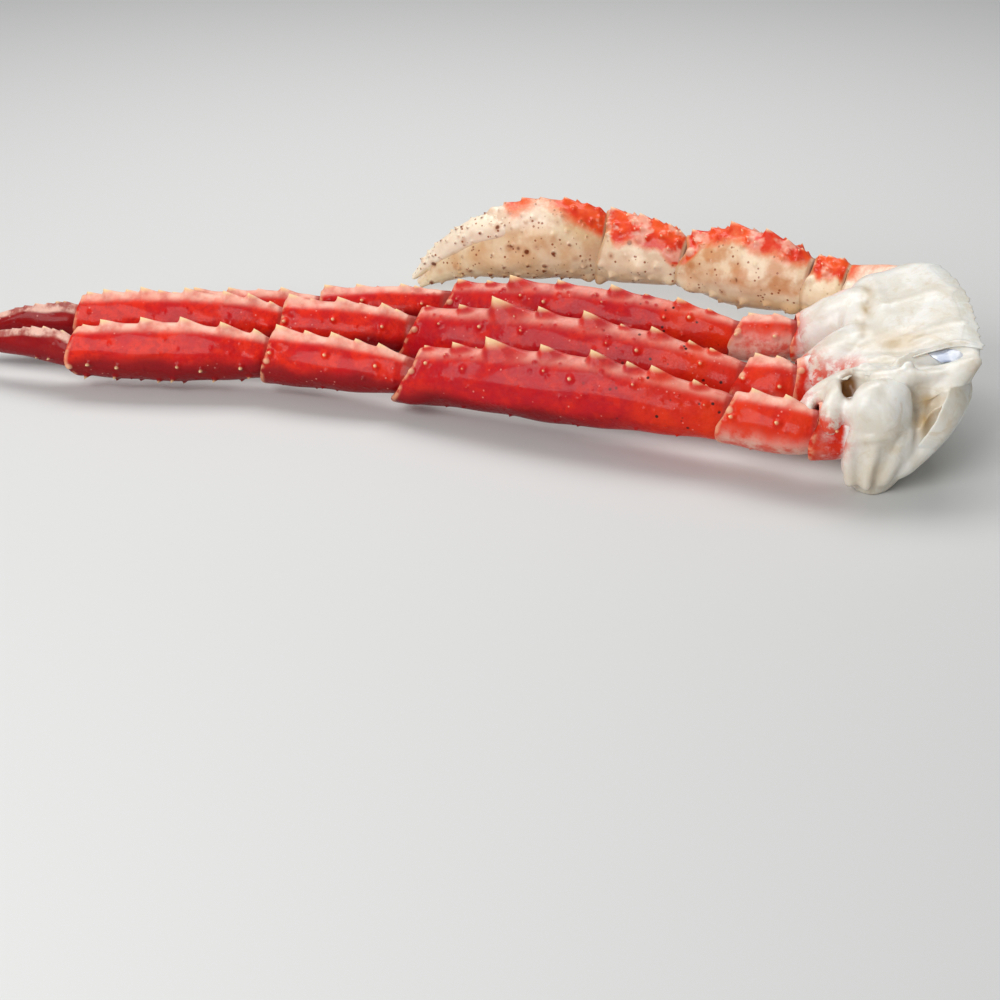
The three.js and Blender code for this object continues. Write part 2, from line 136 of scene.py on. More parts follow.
# Rows of lesser spines: (angle, first share, last share, how many, height, half width)
ROWS = {
    "coxa": [(25, 0.55, 0.85, 2, 2.4, 2.2)],
    "ischium": [(30, 0.3, 0.8, 2, 2.6, 2.4), (150, 0.3, 0.8, 2, 2.6, 2.4)],
    "merus": [(47, 0.1, 0.92, 6, 1.7, 2.3), (135, 0.1, 0.92, 6, 2.4, 2.6), (66, 0.2, 0.8, 4, 1.2, 1.8),
              (14, 0.14, 0.86, 7, 1, 1.5), (166, 0.14, 0.86, 7, 1.1, 1.5), (-18, 0.2, 0.9, 6, 0.9, 1.5),
              (198, 0.2, 0.9, 6, 0.9, 1.5), (-48, 0.15, 0.9, 7, 1.1, 1.5), (228, 0.15, 0.9, 7, 1.1, 1.5)],
    "carpus": [(38, 0.25, 0.88, 3, 2.2, 2.2), (142, 0.25, 0.88, 3, 2.4, 2.2), (4, 0.2, 0.85, 3, 1, 1.5),
               (176, 0.2, 0.85, 3, 1, 1.5), (-38, 0.25, 0.85, 3, 1, 1.5)],
    "propodus": [(-10, 0.1, 0.9, 5, 2.2, 2.4), (190, 0.1, 0.9, 5, 2.2, 2.4), (-46, 0.12, 0.92, 6, 2.4, 2.2),
                 (226, 0.12, 0.92, 6, 2.4, 2.2), (42, 0.2, 0.85, 3, 0.8, 1.4), (138, 0.2, 0.85, 3, 1, 1.5),
                 (-74, 0.2, 0.85, 4, 1.5, 1.7)],
    "dactyl": [(-26, 0.1, 0.34, 2, 2, 1.7), (206, 0.1, 0.34, 2, 2, 1.7), (55, 0.1, 0.4, 3, 0.9, 1.2),
               (125, 0.1, 0.4, 3, 0.9, 1.2)],
}
# Pimples strewn over each flank: how many
PIMPLES = {"merus": 46, "carpus": 18, "propodus": 24, "ischium": 8, "coxa": 5, "dactyl": 6}
# How far the spines of each kind lean towards the far end, as a share of their height
CREST_LEAN, ROW_LEAN, PIMPLE_LEAN = 0.45, 0.35, 0.05
# The ends of a piece, in order outwards: (millimetres past the joint, share of the full section). The
# neck sits in the socket before it, the rim rolls over into its own socket, and a dactyl ends in a tip.
NECK = [(-6.6, 0.3), (-6.4, 0.6), (-5.8, 0.78), (-4.6, 0.87), (-3, 0.91), (-1.2, 0.93)]
RIM = [(0, 1.02), (0.35, 1.005), (0.4, 0.975), (0, 0.95), (-1, 0.92), (-2, 0.86), (-2.8, 0.7),
       (-3.2, 0.45), (-3.3, 0.2)]
TIP = [(0, 1), (0.5, 0.75), (0.9, 0.35)]
# Share of a piece, at either end, over which its section turns into the plane of the joint
TURN = 0.22
# Height above the table below which nothing reaches
CLEAR = 0.15
# Grid of a piece: columns round it, more for the thick merus, and millimetres from row to row
LEG_COLUMNS, MERUS_COLUMNS, LEG_STEP = 104, 120, 0.75


def unit(v):
    """Vectors divided by their lengths, with none shorter than a hair."""
    return v / np.maximum(np.linalg.norm(v, axis=-1, keepdims=True), 1e-9)


def smooth(x):
    """3x^2 - 2x^3 between 0 and 1, and flat outside."""
    x = np.clip(x, 0, 1)
    return x * x * (3 - 2 * x)


def cubic(a, b, c, d, u):
    """Catmull-Rom: the cubic from b to c, with slopes of half of c - a and half of d - b at its ends."""
    return 0.5 * (2 * b + (c - a) * u + (2 * a - 5 * b + 4 * c - d) * u ** 2
                  + (3 * b - a - 3 * c + d) * u ** 3)


def along(values, t):
    """Smooth value at share t of a list of even steps: a Catmull-Rom cubic through the steps."""
    v = np.asarray(values, float)
    last = len(v) - 1
    step = np.clip(np.floor(t * last).astype(int), 0, last - 1)
    a, b, c, d = (v[np.clip(step + k, 0, last)] for k in (-1, 0, 1, 2))
    u = t * last - step
    return cubic(a, b, c, d, u[:, None] if v.ndim == 2 else u)


def limb(start, end, start_normal, end_normal, bend, height, width):
    """A tube of shell from joint to joint, as values for the functions below. Its centre is a parabola
    whose middle lies off the straight line by bend."""
    start, end, bend = (np.asarray(v, float) for v in (start, end, bend))
    return {"start": start, "end": end, "control": (start + end) / 2 + 2 * bend,
            "normals": (start_normal, end_normal), "height": height, "width": width,
            "front": np.sign(end[0] - start[0]) or 1.0, "length": np.linalg.norm(end - start)}


def limb_frame(tube, t):
    """Centre, side, up and tangent at shares t. The centre runs on a parabola from joint to joint, and
    over the share TURN at either end the section turns into the plane that it shares with its neighbour."""
    s = t[:, None]
    a, m, b = tube["start"], tube["control"], tube["end"]
    centre = (1 - s) ** 2 * a + 2 * s * (1 - s) * m + s ** 2 * b
    tangent = unit(2 * (1 - s) * (m - a) + 2 * s * (b - m))
    near = 1 - smooth(s / TURN)
    far = 1 - smooth((1 - s) / TURN)
    normal = unit(tangent * (1 - near - far) + near * tube["normals"][0] + far * tube["normals"][1])
    up = unit(np.array([0, 0, 1.0]) - normal * normal[:, 2:])
    side = np.cross(up, normal) * -tube["front"]
    return centre, side, up, tangent


def limb_points(tube, t, angle, swell):
    """Grid of points, shares t by angles: an upright ellipse round the centre, cos(angle) across and
    sin(angle) up, times swell at each row. The crest has a keel, and both flanks a hollow 42 degrees up
    and a ridge 14 degrees down, as bell curves of the angle."""
    centre, side, up, tangent = limb_frame(tube, np.clip(t, 0, 1))
    centre = centre + tangent * ((t - np.clip(t, 0, 1)) * tube["length"])[:, None]
    wide = along(tube["width"], np.clip(t, 0, 1)) / 2 * swell
    tall = along(tube["height"], np.clip(t, 0, 1)) / 2 * swell
    sine = np.sin(angle)
    flank = np.degrees(np.arctan2(sine, np.abs(np.cos(angle))))
    dent = 0.045 * np.exp(-((flank + 14) / 15) ** 2) - 0.05 * np.exp(-((flank - 42) / 20) ** 2)
    wide = wide[:, None] * (1 + dent)[None, :]
    keel = 1 + 0.06 * np.maximum(0, sine) ** 6 + 0.035 * np.maximum(0, sine) ** 60 + 0.5 * dent
    across = np.cos(angle)[None, :, None] * wide[:, :, None] * side[:, None, :]
    upright = (sine * keel)[None, :, None] * tall[:, None, None] * up[:, None, :]
    return centre[:, None, :] + across + upright


def grid_normals(points, centre):
    """Unit normals of a wrapped grid: the cross product of its two directions, turned away from centre."""
    down = np.gradient(points, axis=0)
    round_ = np.roll(points, -1, 1) - np.roll(points, 1, 1)
    normal = unit(np.cross(down, round_))
    out = np.sum(normal * (points - centre[:, None, :]), axis=-1, keepdims=True)
    return normal * np.where(np.median(out) < 0, -1, 1)


def wrapped(points):
    """Points, quads and triangles of a closed surface over a grid that wraps round its columns, each end
    shut by a fan to its middle. Faces are turned outwards by the sign of the volume."""
    rows, columns, _ = points.shape
    verts = np.concatenate([points.reshape(-1, 3), points[0].mean(0)[None], points[-1].mean(0)[None]])
    r, c = np.meshgrid(np.arange(rows - 1), np.arange(columns), indexing="ij")
    n = (c + 1) % columns
    quads = np.stack([r * columns + c, r * columns + n, (r + 1) * columns + n, (r + 1) * columns + c], -1)
    quads = quads.reshape(-1, 4)
    ring = np.arange(columns)
    turn = (ring + 1) % columns
    first = np.stack([turn, ring, np.full(columns, rows * columns)], -1)
    end = (rows - 1) * columns
    last = np.stack([end + ring, end + turn, np.full(columns, rows * columns + 1)], -1)
    fans = np.concatenate([first, last])
    tris = np.concatenate([quads[:, [0, 1, 2]], quads[:, [0, 2, 3]], fans])
    a, b, d = (verts[tris[:, i]] for i in range(3))
    if np.sum(a * np.cross(b, d)) < 0:
        return verts, quads[:, ::-1], fans[:, ::-1]
    return verts, quads, fans


def set_layer(mesh, layer, values):
    """Keeps values at a mesh's points under a name."""
    mesh.attributes.new(layer, "FLOAT", "POINT").data.foreach_set("value", values.astype(np.float32))


def skin(name, points, layers, material):
    """A piece over a wrapped grid of points. layers are values kept at the points, and the middle of an
    end takes the mean of its ring."""
    verts, quads, fans = wrapped(points)
    mesh = bpy.data.meshes.new(name)
    mesh.from_pydata(((verts + MOVE) * SCALE).tolist(), [], quads.tolist() + fans.tolist())
    mesh.polygons.foreach_set("use_smooth", np.ones(len(mesh.polygons), bool))
    for layer, values in layers.items():
        set_layer(mesh, layer, np.append(values, [values[0].mean(), values[-1].mean()]))
    mesh.materials.append(material)
    piece = bpy.data.objects.new(name, mesh)
    bpy.context.scene.collection.objects.link(piece)
    return piece


def grow_spines(points, normals, tangent, spines):
    """Pulls spines out of a skin, and gives with it how far up a spine and up a knob each point lies. A
    spine is (row, column, height, reach towards the near end, reach towards the far end, half width,
    lean): height x g^2 (1.7 - 0.7 g) along the normal, g = 1 - d, where d is the distance over the reach,
    and the tip leans towards the far end by lean x height x g^2. One without a lean is a round knob or
    lobe instead, height x (1 - d^2)^2."""
    grown = np.zeros(points.shape[:2])
    knob = np.zeros(points.shape[:2])
    shift = np.zeros_like(points)
    for row, column, tall, near, far, wide, lean in spines:
        gap = points - points[row, column]
        ahead = gap @ tangent[row]
        aside = np.sqrt(np.maximum(np.sum(gap * gap, -1) - ahead ** 2, 0))
        d = np.sqrt((ahead / np.where(ahead > 0, far, near)) ** 2 + (aside / wide) ** 2)
        g = np.clip(1 - d, 0, 1)
        push = tall * (g * g * (1.7 - 0.7 * g) if lean else np.clip(1 - d * d, 0, 1) ** 2)
        out = push[..., None] * normals[row, column] + (lean * tall * g ** 2)[..., None] * tangent[row]
        shift = np.where((np.linalg.norm(shift, axis=-1) < push)[..., None], out, shift)
        if lean:
            grown = np.maximum(grown, g ** 0.8 * min(1.0, 0.35 + tall / 3))
        else:
            knob = np.maximum(knob, np.clip(1 - d * d, 0, 1) * (wide < LOBE))
    return points + shift, grown, knob


def scattered(rng, count, low, high, tall, wide):
    """Pimples (share, angle, height, half width) strewn between two angles, one in each of count equal
    steps along the piece."""
    t = 0.06 + 0.88 * (np.arange(count) + rng.random(count)) / count
    angle = np.radians(low + (high - low) * rng.random(count))
    size = 0.6 + 0.7 * rng.random(count)
    return [(a, b, tall * c, wide * (0.7 + 0.4 * c)) for a, b, c in zip(t, angle, size)]


def shell_piece(name, tube, edge, crest, rows, knobs, pimples, columns, step, material, colours, tip=False):
    """One tube of shell: neck, body, spines, rolled rim and socket, with its colour layers. Low ripples
    run over it, as sines of the place along it and of the angle."""
    length = tube["length"]
    near, near_swell = np.array(NECK).T
    far, far_swell = np.array(TIP if tip else RIM).T
    body = np.arange(int(length / step) + 1) * step / length
    body = body[body < 1 - 0.5 / length]
    body_swell = 0.94 + 0.06 * smooth(body * length / 6)
    body_swell = body_swell * (1 + 0.025 * smooth((body - 1) * length / 6 + 1))
    t = np.concatenate([near / length, body, 1 + far / length])
    swell = np.concatenate([near_swell, body_swell, far_swell])
    angle = np.arange(columns) / columns * 2 * math.pi
    points = limb_points(tube, t, angle, swell)
    centre, _, _, tangent = limb_frame(tube, np.clip(t, 0, 1))
    normals = grid_normals(points, centre)
    first = len(near)
    last = first + len(body)
    reach = along(edge + edge[:1], angle / (2 * math.pi))
    hold = smooth((body * length - length) / EDGE_RUN + 1)
    hold = np.concatenate([np.zeros(first), hold, np.ones(len(far))])
    points = points + (hold[:, None] * reach)[..., None] * tangent[:, None, :]

    def place(share, at):
        row = int(np.clip(np.searchsorted(t[first:last], share), 2, last - first - 2)) + first
        return row, int(round(at / (2 * math.pi) * columns)) % columns

    spines = []
    for share, tall in crest:
        spines.append((*place(share, math.pi / 2), tall, tall * 2.7 + 2.5, tall * 0.75 + 1.5, tall + 1.8,
                       CREST_LEAN))
    for row_number, (degrees, begin, finish, count, tall, wide) in enumerate(rows):
        for i in range(count):
            wobble = math.sin(i * 2.3 + row_number * 1.7 + length)
            share = begin + (finish - begin) * (i + 0.3 * wobble) / max(1, count - 1)
            at = math.radians(degrees + 6 * math.sin(i * 3.1 + row_number + length))
            size = 1 + 0.22 * math.sin(i * 1.9 + row_number * 2.1 + length)
            spines.append((*place(share, at), tall * size, wide * 1.5, wide, wide * 1.2, ROW_LEAN))
    for share, at, tall, wide in pimples:
        spines.append((*place(share, at), tall, wide, wide, wide, PIMPLE_LEAN))
    for degrees, share, tall, long, wide in knobs:
        spines.append((*place(share, math.radians(degrees)), tall, long, long, wide, 0))
    ripple = 0.26 * np.sin(t[:, None] * length / 5.3 + 2.2 * np.sin(angle * 2 + length)[None, :])
    ripple = ripple + 0.3 * np.sin(t[:, None] * length / 12.7 + 3 * np.cos(angle + 1)[None, :] + length)
    points = points + ripple[..., None] * normals
    points, grown, knob = grow_spines(points, normals, tangent, spines)
    points[..., 2] = np.maximum(points[..., 2], CLEAR)
    flat = np.zeros(points.shape[:2])
    steep = np.sin(angle)[None, :] + flat
    across = np.cos(angle)[None, :] + flat
    share = np.clip(t, 0, 1)[:, None] + flat
    from_rim = (1 - t)[:, None] * length + flat
    inside = np.concatenate([np.ones(first), np.zeros(len(body) + 2), np.ones(len(far) - 2) * (not tip)])
    neck = np.concatenate([np.ones(first), 1 - smooth((body * length - 0.5) / 1.6), np.zeros(len(far))])
    layers = {"tip": grown, "knob": knob, "inside": inside[:, None] + flat, "neck": neck[:, None] + flat,
              "rim": (1 - smooth((from_rim - 0.6) / 1.8)) * (not tip)}
    wave = 0.5 * np.sin(share * 9 + 1.3 * across + length) + 0.5 * np.sin(share * 21 + 2)
    layers.update(colours(share, steep, across, wave, grown))
    return skin(name, points, layers, material)


def paint(code):
    """sRGB hex to the linear colour that a shader reads: c / 12.92 up to 0.04045, and above it
    ((c + 0.055) / 1.055)^2.4."""
    c = np.array([int(code[i:i + 2], 16) / 255 for i in (1, 3, 5)])
    c = np.where(c <= 0.04045, c / 12.92, ((c + 0.055) / 1.055) ** 2.4)
    return (*c.tolist(), 1.0)


def add(tree, kind, inputs=None, **settings):
    """Adds a shader node: settings are its properties, inputs its sockets, each a value or an output."""
    made = tree.nodes.new(kind)
    for key, value in settings.items():
        setattr(made, key, value)
    for key, value in (inputs or {}).items():
        if isinstance(value, bpy.types.NodeSocket):
            tree.links.new(value, made.inputs[key])
        else:
            made.inputs[key].default_value = value
    return made


def new_material(name):
    """An empty material with its output and Principled shader."""
    made = bpy.data.materials.new(name)
    made.use_nodes = True
    tree = made.node_tree
    tree.nodes.clear()
    shader = add(tree, "ShaderNodeBsdfPrincipled")
    add(tree, "ShaderNodeOutputMaterial", {"Surface": shader.outputs[0]})
    return made, tree, shader


def patterns(tree, noises, dots, layers):
    """What a material is mixed from, by name, on the piece's own coordinates. noises are soft lumps: size in
    mm, detail, roughness, distortion. dots are the mm between strewn points, read as the distance to the
    nearest of them, 0 at a point. layers are the values kept at the mesh's points."""
    place = add(tree, "ShaderNodeTexCoord").outputs["Object"]
    found = {}
    for name, (size_mm, *settings) in noises.items():
        inputs = dict(zip(("Detail", "Roughness", "Distortion"), settings))
        inputs.update({"Vector": place, "Scale": 1000 / size_mm})
        found[name] = add(tree, "ShaderNodeTexNoise", inputs).outputs["Fac"]
    for name, spacing_mm in dots.items():
        inputs = {"Vector": place, "Scale": 1000 / spacing_mm, "Randomness": 1.0}
        found[name] = add(tree, "ShaderNodeTexVoronoi", inputs, feature="F1").outputs["Distance"]
    for name in layers:
        found[name] = add(tree, "ShaderNodeAttribute", attribute_name=name).outputs["Fac"]
    return found


def product(tree, found, factors):
    """The factors multiplied. Each is a number, the name of a pattern, or a name with low and high, which is
    taken smoothly from between them to between 0 and 1, or to between two more numbers."""
    whole = None
    for factor in factors:
        if isinstance(factor, tuple):
            name, low, high, *to = factor
            to_low, to_high = to or (0, 1)
            inputs = {"Value": found[name], "From Min": low, "From Max": high, "To Min": to_low,
                      "To Max": to_high}
            made = add(tree, "ShaderNodeMapRange", inputs, interpolation_type="SMOOTHSTEP")
            factor = made.outputs["Result"]
        elif isinstance(factor, str):
            factor = found[factor]
        if whole is not None:
            factor = add(tree, "ShaderNodeMath", {0: whole, 1: factor}, operation="MULTIPLY").outputs[0]
        whole = factor
    return whole


def laid_over(tree, base, found, covers):
    """A base colour with others laid over it in turn, each by a share that is the product of its factors.
    Sockets 6 and 7 of the mixing node are its two colours, and its output 2 is their mix."""
    colour = paint(base)
    for over, *factors in covers:
        over = paint(over) if isinstance(over, str) else over
        inputs = {"Factor": product(tree, found, factors), 6: colour, 7: over}
        colour = add(tree, "ShaderNodeMix", inputs, data_type="RGBA").outputs[2]
    return colour


def wet_surface(tree, shader, colour, found, dull, bump, sockets):
    """Gives the shader a colour, a roughness that follows one factor, a bump (strength, depth in mm, and
    the factors of its coarse and its fine part, which are added), and the values of its other sockets."""
    tree.links.new(colour, shader.inputs["Base Color"])
    tree.links.new(product(tree, found, [dull]), shader.inputs["Roughness"])
    if bump:
        strength, deep_mm, coarse, fine = bump
        inputs = {0: product(tree, found, coarse), 1: product(tree, found, fine)}
        height = add(tree, "ShaderNodeMath", inputs, operation="ADD").outputs[0]
        inputs = {"Strength": strength, "Distance": deep_mm * SCALE, "Height": height}
        tree.links.new(add(tree, "ShaderNodeBump", inputs).outputs[0], shader.inputs["Normal"])
    for socket, value in sockets.items():
        shader.inputs[socket].default_value = value


def leg_shell_material(name, horn):
    """Cooked crab shell: chitin hardened with lime, 1 mm thick. Boiling frees its red pigment, which is
    orange-red on the upper side and crimson below, where it is painted darker still as painted shade of the
    lower side. It is thin on crests and spine tips, where the lime shows through as cream, and the pale band
    along the crests is that lime together with a painted highlight. It is wet, so a film of water lies over
    a half-dull surface."""
    made, tree, shader = new_material(name)
    found = patterns(tree, {
        "cloud": (16, 3, 0.55), "grain": (2.2, 3, 0.6), "mottle": (4.5, 4, 0.72), "blush": (9, 3),
        "lime": (9, 4, 0.6), "wear": (7, 3), "group": (12, 1), "cluster": (9, 1), "rub": (5, 2),
        "shred": (8, 4, 0.65), "swelling": (6, 3)}, {"flecks": 4.2, "specks": 5.5},
        ["rosy", "deep", "warm", "pale", "crest", "speck", "rim", "knob", "tip", "horn", "skin", "neck",
         "inside"])
    found["torn"] = add(tree, "ShaderNodeMath", {0: found["shred"], 1: 0.9, 2: found["skin"]},
                        operation="MULTIPLY_ADD").outputs[0]
    membrane = laid_over(tree, "#ece4de", found, [("#e0a08e", ("cloud", 0.5, 0.66, 0, 0.6))])
    covers = [
        # the upper side, its darker clouds and mottle, and the crimson of the lower side, darkened as
        # painted shade
        ("#c60a10", ("cloud", 0.42, 0.62)),
        ("#b4060e", ("mottle", 0.44, 0.62, 0, 0.6)),
        ("#b40a1c", "rosy", ("blush", 0.35, 0.65, 0.35, 1)),
        ("#80000a", "deep"),
        ("#dc3408", "warm", ("cloud", 0.36, 0.6, 1, 0.55)),
        # lime on pale sides, a pale band along the crests that is partly lime and partly a painted
        # highlight, pale flecks and dark specks
        ("#e8bcaa", "pale", ("lime", 0.36, 0.6, 0.2, 1)),
        ("#f6bca6", "crest", ("wear", 0.3, 0.6, 0.55, 1)),
        ("#e8988a", ("flecks", 0.16, 0.07), ("group", 0.5, 0.6, 0, 0.6)),
        ("#3a0f08", ("specks", 0.2, 0.1), "speck", ("cluster", 0.42, 0.5)),
        # rims, knobs and spine tips
        ("#e8a27c", "rim", ("rub", 0.4, 0.62, 0, 0.75)),
        ("#f0bd96", ("knob", 0.35, 1, 0, 0.75)),
        ("#f3d09c", ("tip", 0.6, 0.95)),
    ]
    if horn:
        covers += [("#8a5a22", "horn"), ("#3c2412", ("horn", 0.8, 1))]
    covers += [
        (membrane, ("torn", 0.6, 1), ("skin", 0, 0.15)),
        ("#a8281c", "neck", 0.8),
        ("#a33a30", "inside"),
    ]
    colour = laid_over(tree, "#dc2408", found, covers)
    wet_surface(tree, shader, colour, found, ("grain", 0.3, 0.7, 0.42, 0.6),
                (0.6, 1.5, ["swelling", 0.8], ["grain", 0.35]), {
        "IOR": 1.5, "Specular IOR Level": 0.14, "Coat Weight": 0.3, "Coat Roughness": 0.11, "Coat IOR": 1.36,
        "Subsurface Weight": 0.06, "Subsurface Radius": (0.003, 0.0008, 0.0005), "Subsurface Scale": 1.0})
    return made


red_shell = leg_shell_material("wet_cooked_leg_shell", False)
dactyl_shell = leg_shell_material("wet_cooked_dactyl_shell", True)


def leg_colours(kind, leg):
    """Colour layers of a leg piece, from the share of its length, the height on its flank and its spines."""
    def layers(share, steep, across, wave, grown):
        # deep: darker towards the bottom of each piece, the crimson of the lower side together with painted
        # shade
        deep = smooth((0.34 + 0.14 * wave - steep) / 0.5)
        # crest: a pale band along the top, partly lime and partly a painted highlight of the light from
        # above
        crest = np.exp(-((1 - steep) / (0.1 if kind == "merus" else 0.07)) ** 2)
        zero = np.zeros_like(steep)
        out = {"deep": deep * 0.9, "crest": 0.95 * crest, "rosy": zero, "warm": zero, "speck": zero,
               "pale": zero, "horn": zero, "skin": zero}
        if kind == "merus":
            out["rosy"] = 0.85 * smooth((share - 0.12) / 0.25)
            out["crest"] = 0.55 * crest * (1 - 0.9 * smooth(grown / 0.5))
            # the merus is darker low down, its crimson together with painted shade
            out["deep"] = smooth((0.2 * wave - steep) / 0.5) * smooth((share - 0.1) / 0.5)
            out["warm"] = (1 - smooth((share - 0.12) / 0.2)) * 0.8
            out["speck"] = (1 - smooth((share - 0.2) / 0.35)) * smooth((steep + 0.5) / 0.3)
        elif kind == "ischium":
            out["warm"] = 0.7 + zero
            low = {"back": 0.75, "middle": 0.1, "front": 0.1}[leg]
            out["pale"] = 0.9 * smooth(low + 0.1 * wave + 0.2 - steep)
            out["deep"] = zero
        elif kind == "coxa":
            out["warm"] = 0.8 + zero
            out["skin"] = zero + (0.62 if leg == "front" else 1)
            out["skin"] = out["skin"] * smooth((1.08 + 0.2 * wave - share) / 0.6)
            out["pale"] = 0.5 * smooth((0.1 + 0.5 * wave) / 0.5)
            out["deep"] = zero
        elif kind == "dactyl":
            out["horn"] = smooth((share - 0.66) / 0.3)
            out["pale"] = 0.95 * smooth((steep - 0.72 + 0.08 * wave) / 0.16)
            out["pale"] = out["pale"] * (1 - smooth((share - 0.6) / 0.3))
            out["crest"] = zero
            out["deep"] = 0.85 + 0.15 * deep
        return out
    return layers


def joint_normal(points, i):
    """The plane in which the pieces before and after a joint meet faces halfway between their directions."""
    before = points[i] - points[max(0, i - 1)]
    after = points[min(len(points) - 1, i + 1)] - points[i]
    return unit(unit(before) + unit(after))


rng = np.random.default_rng(7)
for leg, (joints, girth) in LEGS.items():
    joints = np.array(joints, float)
    for i, kind in enumerate(LEG_KINDS):
        tube = limb(joints[i], joints[i + 1], joint_normal(joints, i), joint_normal(joints, i + 1),
                    (0, 0, LEG_ARCH[kind]), np.array(LEG_HEIGHT[kind]) * girth,
                    np.array(LEG_WIDTH[kind]) * girth)
        pimples = scattered(rng, PIMPLES[kind], -60, 75, 0.7, 1.3)
        pimples += scattered(rng, PIMPLES[kind], 105, 240, 0.7, 1.3)
        dactyl = kind == "dactyl"
        piece = shell_piece(f"shell_leg_{leg}_{kind}", tube, LEG_EDGE[kind], CREST.get((leg, kind), []),
                            ROWS[kind], KNOBS[kind], pimples,
                            MERUS_COLUMNS if kind == "merus" else LEG_COLUMNS, LEG_STEP,
                            dactyl_shell if dactyl else red_shell, leg_colours(kind, leg), tip=dactyl)
        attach(piece, "root")
        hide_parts(f"leg_{leg}_{kind}")


# Claw arm: the same row of tubes, shorter and stouter. Its near flank carries little pigment, so it is
# cream with brown specks, and only its crest and far side are red, with big cream-tipped spines.
CLAW_ARM = [[225, 8, 52], [200, 30, 44], [180, 41, 42], [114, 80, 40], [67, 103, 40]]
ARM_KINDS = ["coxa", "ischium", "merus", "carpus"]
ARM_HEIGHT = {"coxa": [26, 27, 27, 27, 26], "ischium": [27, 29, 30, 31, 30], "merus": [32, 39, 43, 39, 30],
              "carpus": [28, 33, 37, 39, 38]}
ARM_WIDTH = {"coxa": [24, 25, 25, 25, 24], "ischium": [25, 27, 28, 28, 26], "merus": [27, 32, 34, 32, 26],
             "carpus": [24, 28, 31, 32, 30]}
ARM_ARCH = {"coxa": 0, "ischium": 0, "merus": 2, "carpus": 1}
ARM_EDGE = {"coxa": [1, 0, 0, 0, 1, 1, 0, 1], "ischium": [2, -1.5, -1.5, -1.5, 2, 3, 0, 3],
            "merus": [2, -3, 1, -3, 2, 3, -1, 3], "carpus": [2, -0.5, 0.5, -0.5, 2, 3, 1, 3]}
ARM_CREST = {
    "coxa": [],
    "ischium": [(0.25, 2.2), (0.55, 2.8), (0.85, 2.2)],
    "merus": [(0.1, 2), (0.22, 2.2), (0.37, 4.2), (0.62, 4.6), (0.78, 2), (0.93, 3.4)],
    "carpus": [(0.1, 2.2), (0.24, 2.8), (0.4, 2.6), (0.55, 3.2), (0.7, 2), (0.88, 4.4)],
}
ARM_ROWS = {
    "coxa": [],
    "ischium": [(74, 0.15, 0.9, 4, 1.8, 2.2), (55, 0.2, 0.9, 4, 1.6, 2.2), (110, 0.2, 0.9, 4, 2, 2.4),
                (130, 0.2, 0.9, 3, 2.6, 2.6)],
    "merus": [(76, 0.08, 0.95, 8, 1.7, 2.3), (60, 0.1, 0.95, 7, 1.6, 2.2), (104, 0.1, 0.92, 7, 1.8, 2.4),
              (132, 0.15, 0.9, 5, 4, 3.4), (118, 0.1, 0.9, 5, 2.2, 2.6), (-38, 0.3, 0.85, 4, 2.6, 3.2),
              (-60, 0.2, 0.7, 3, 2, 2.6), (212, 0.3, 0.8, 4, 2.4, 3)],
    "carpus": [(78, 0.1, 0.92, 6, 2, 2.6), (62, 0.12, 0.95, 6, 2, 2.6), (44, 0.2, 0.9, 5, 1.8, 2.4),
               (104, 0.15, 0.95, 6, 2.2, 2.6), (124, 0.15, 0.95, 5, 3.2, 3), (148, 0.2, 0.85, 4, 3, 3),
               (-8, 0.3, 0.8, 2, 2, 3.2), (-34, 0.25, 0.8, 3, 2.2, 3.4), (205, 0.3, 0.8, 3, 2, 2.8)],
}
ARM_KNOBS = {
    "coxa": [],
    "ischium": [(30, 0.9, 1.6, 4, 4), (-40, 0.85, 1.6, 5, 5)],
    "merus": [(-32, 0.88, 4, 11, 9), (40, 0.95, 2, 4, 4), (140, 0.95, 2, 4, 4), (-50, 0.1, 3, 8, 7),
              (0, 0.5, 1.8, 22, 9)],
    "carpus": [(-62, 0.96, 3.4, 6, 5.5), (-12, 0.45, 2.6, 9, 8), (88, 0.95, 2.4, 5, 5), (150, 0.93, 2, 4, 4),
               (-40, 0.12, 2.2, 6, 6)],
}
# Grid of an arm piece, finer than a leg's because its warts are small
ARM_COLUMNS, ARM_STEP = 132, 0.7


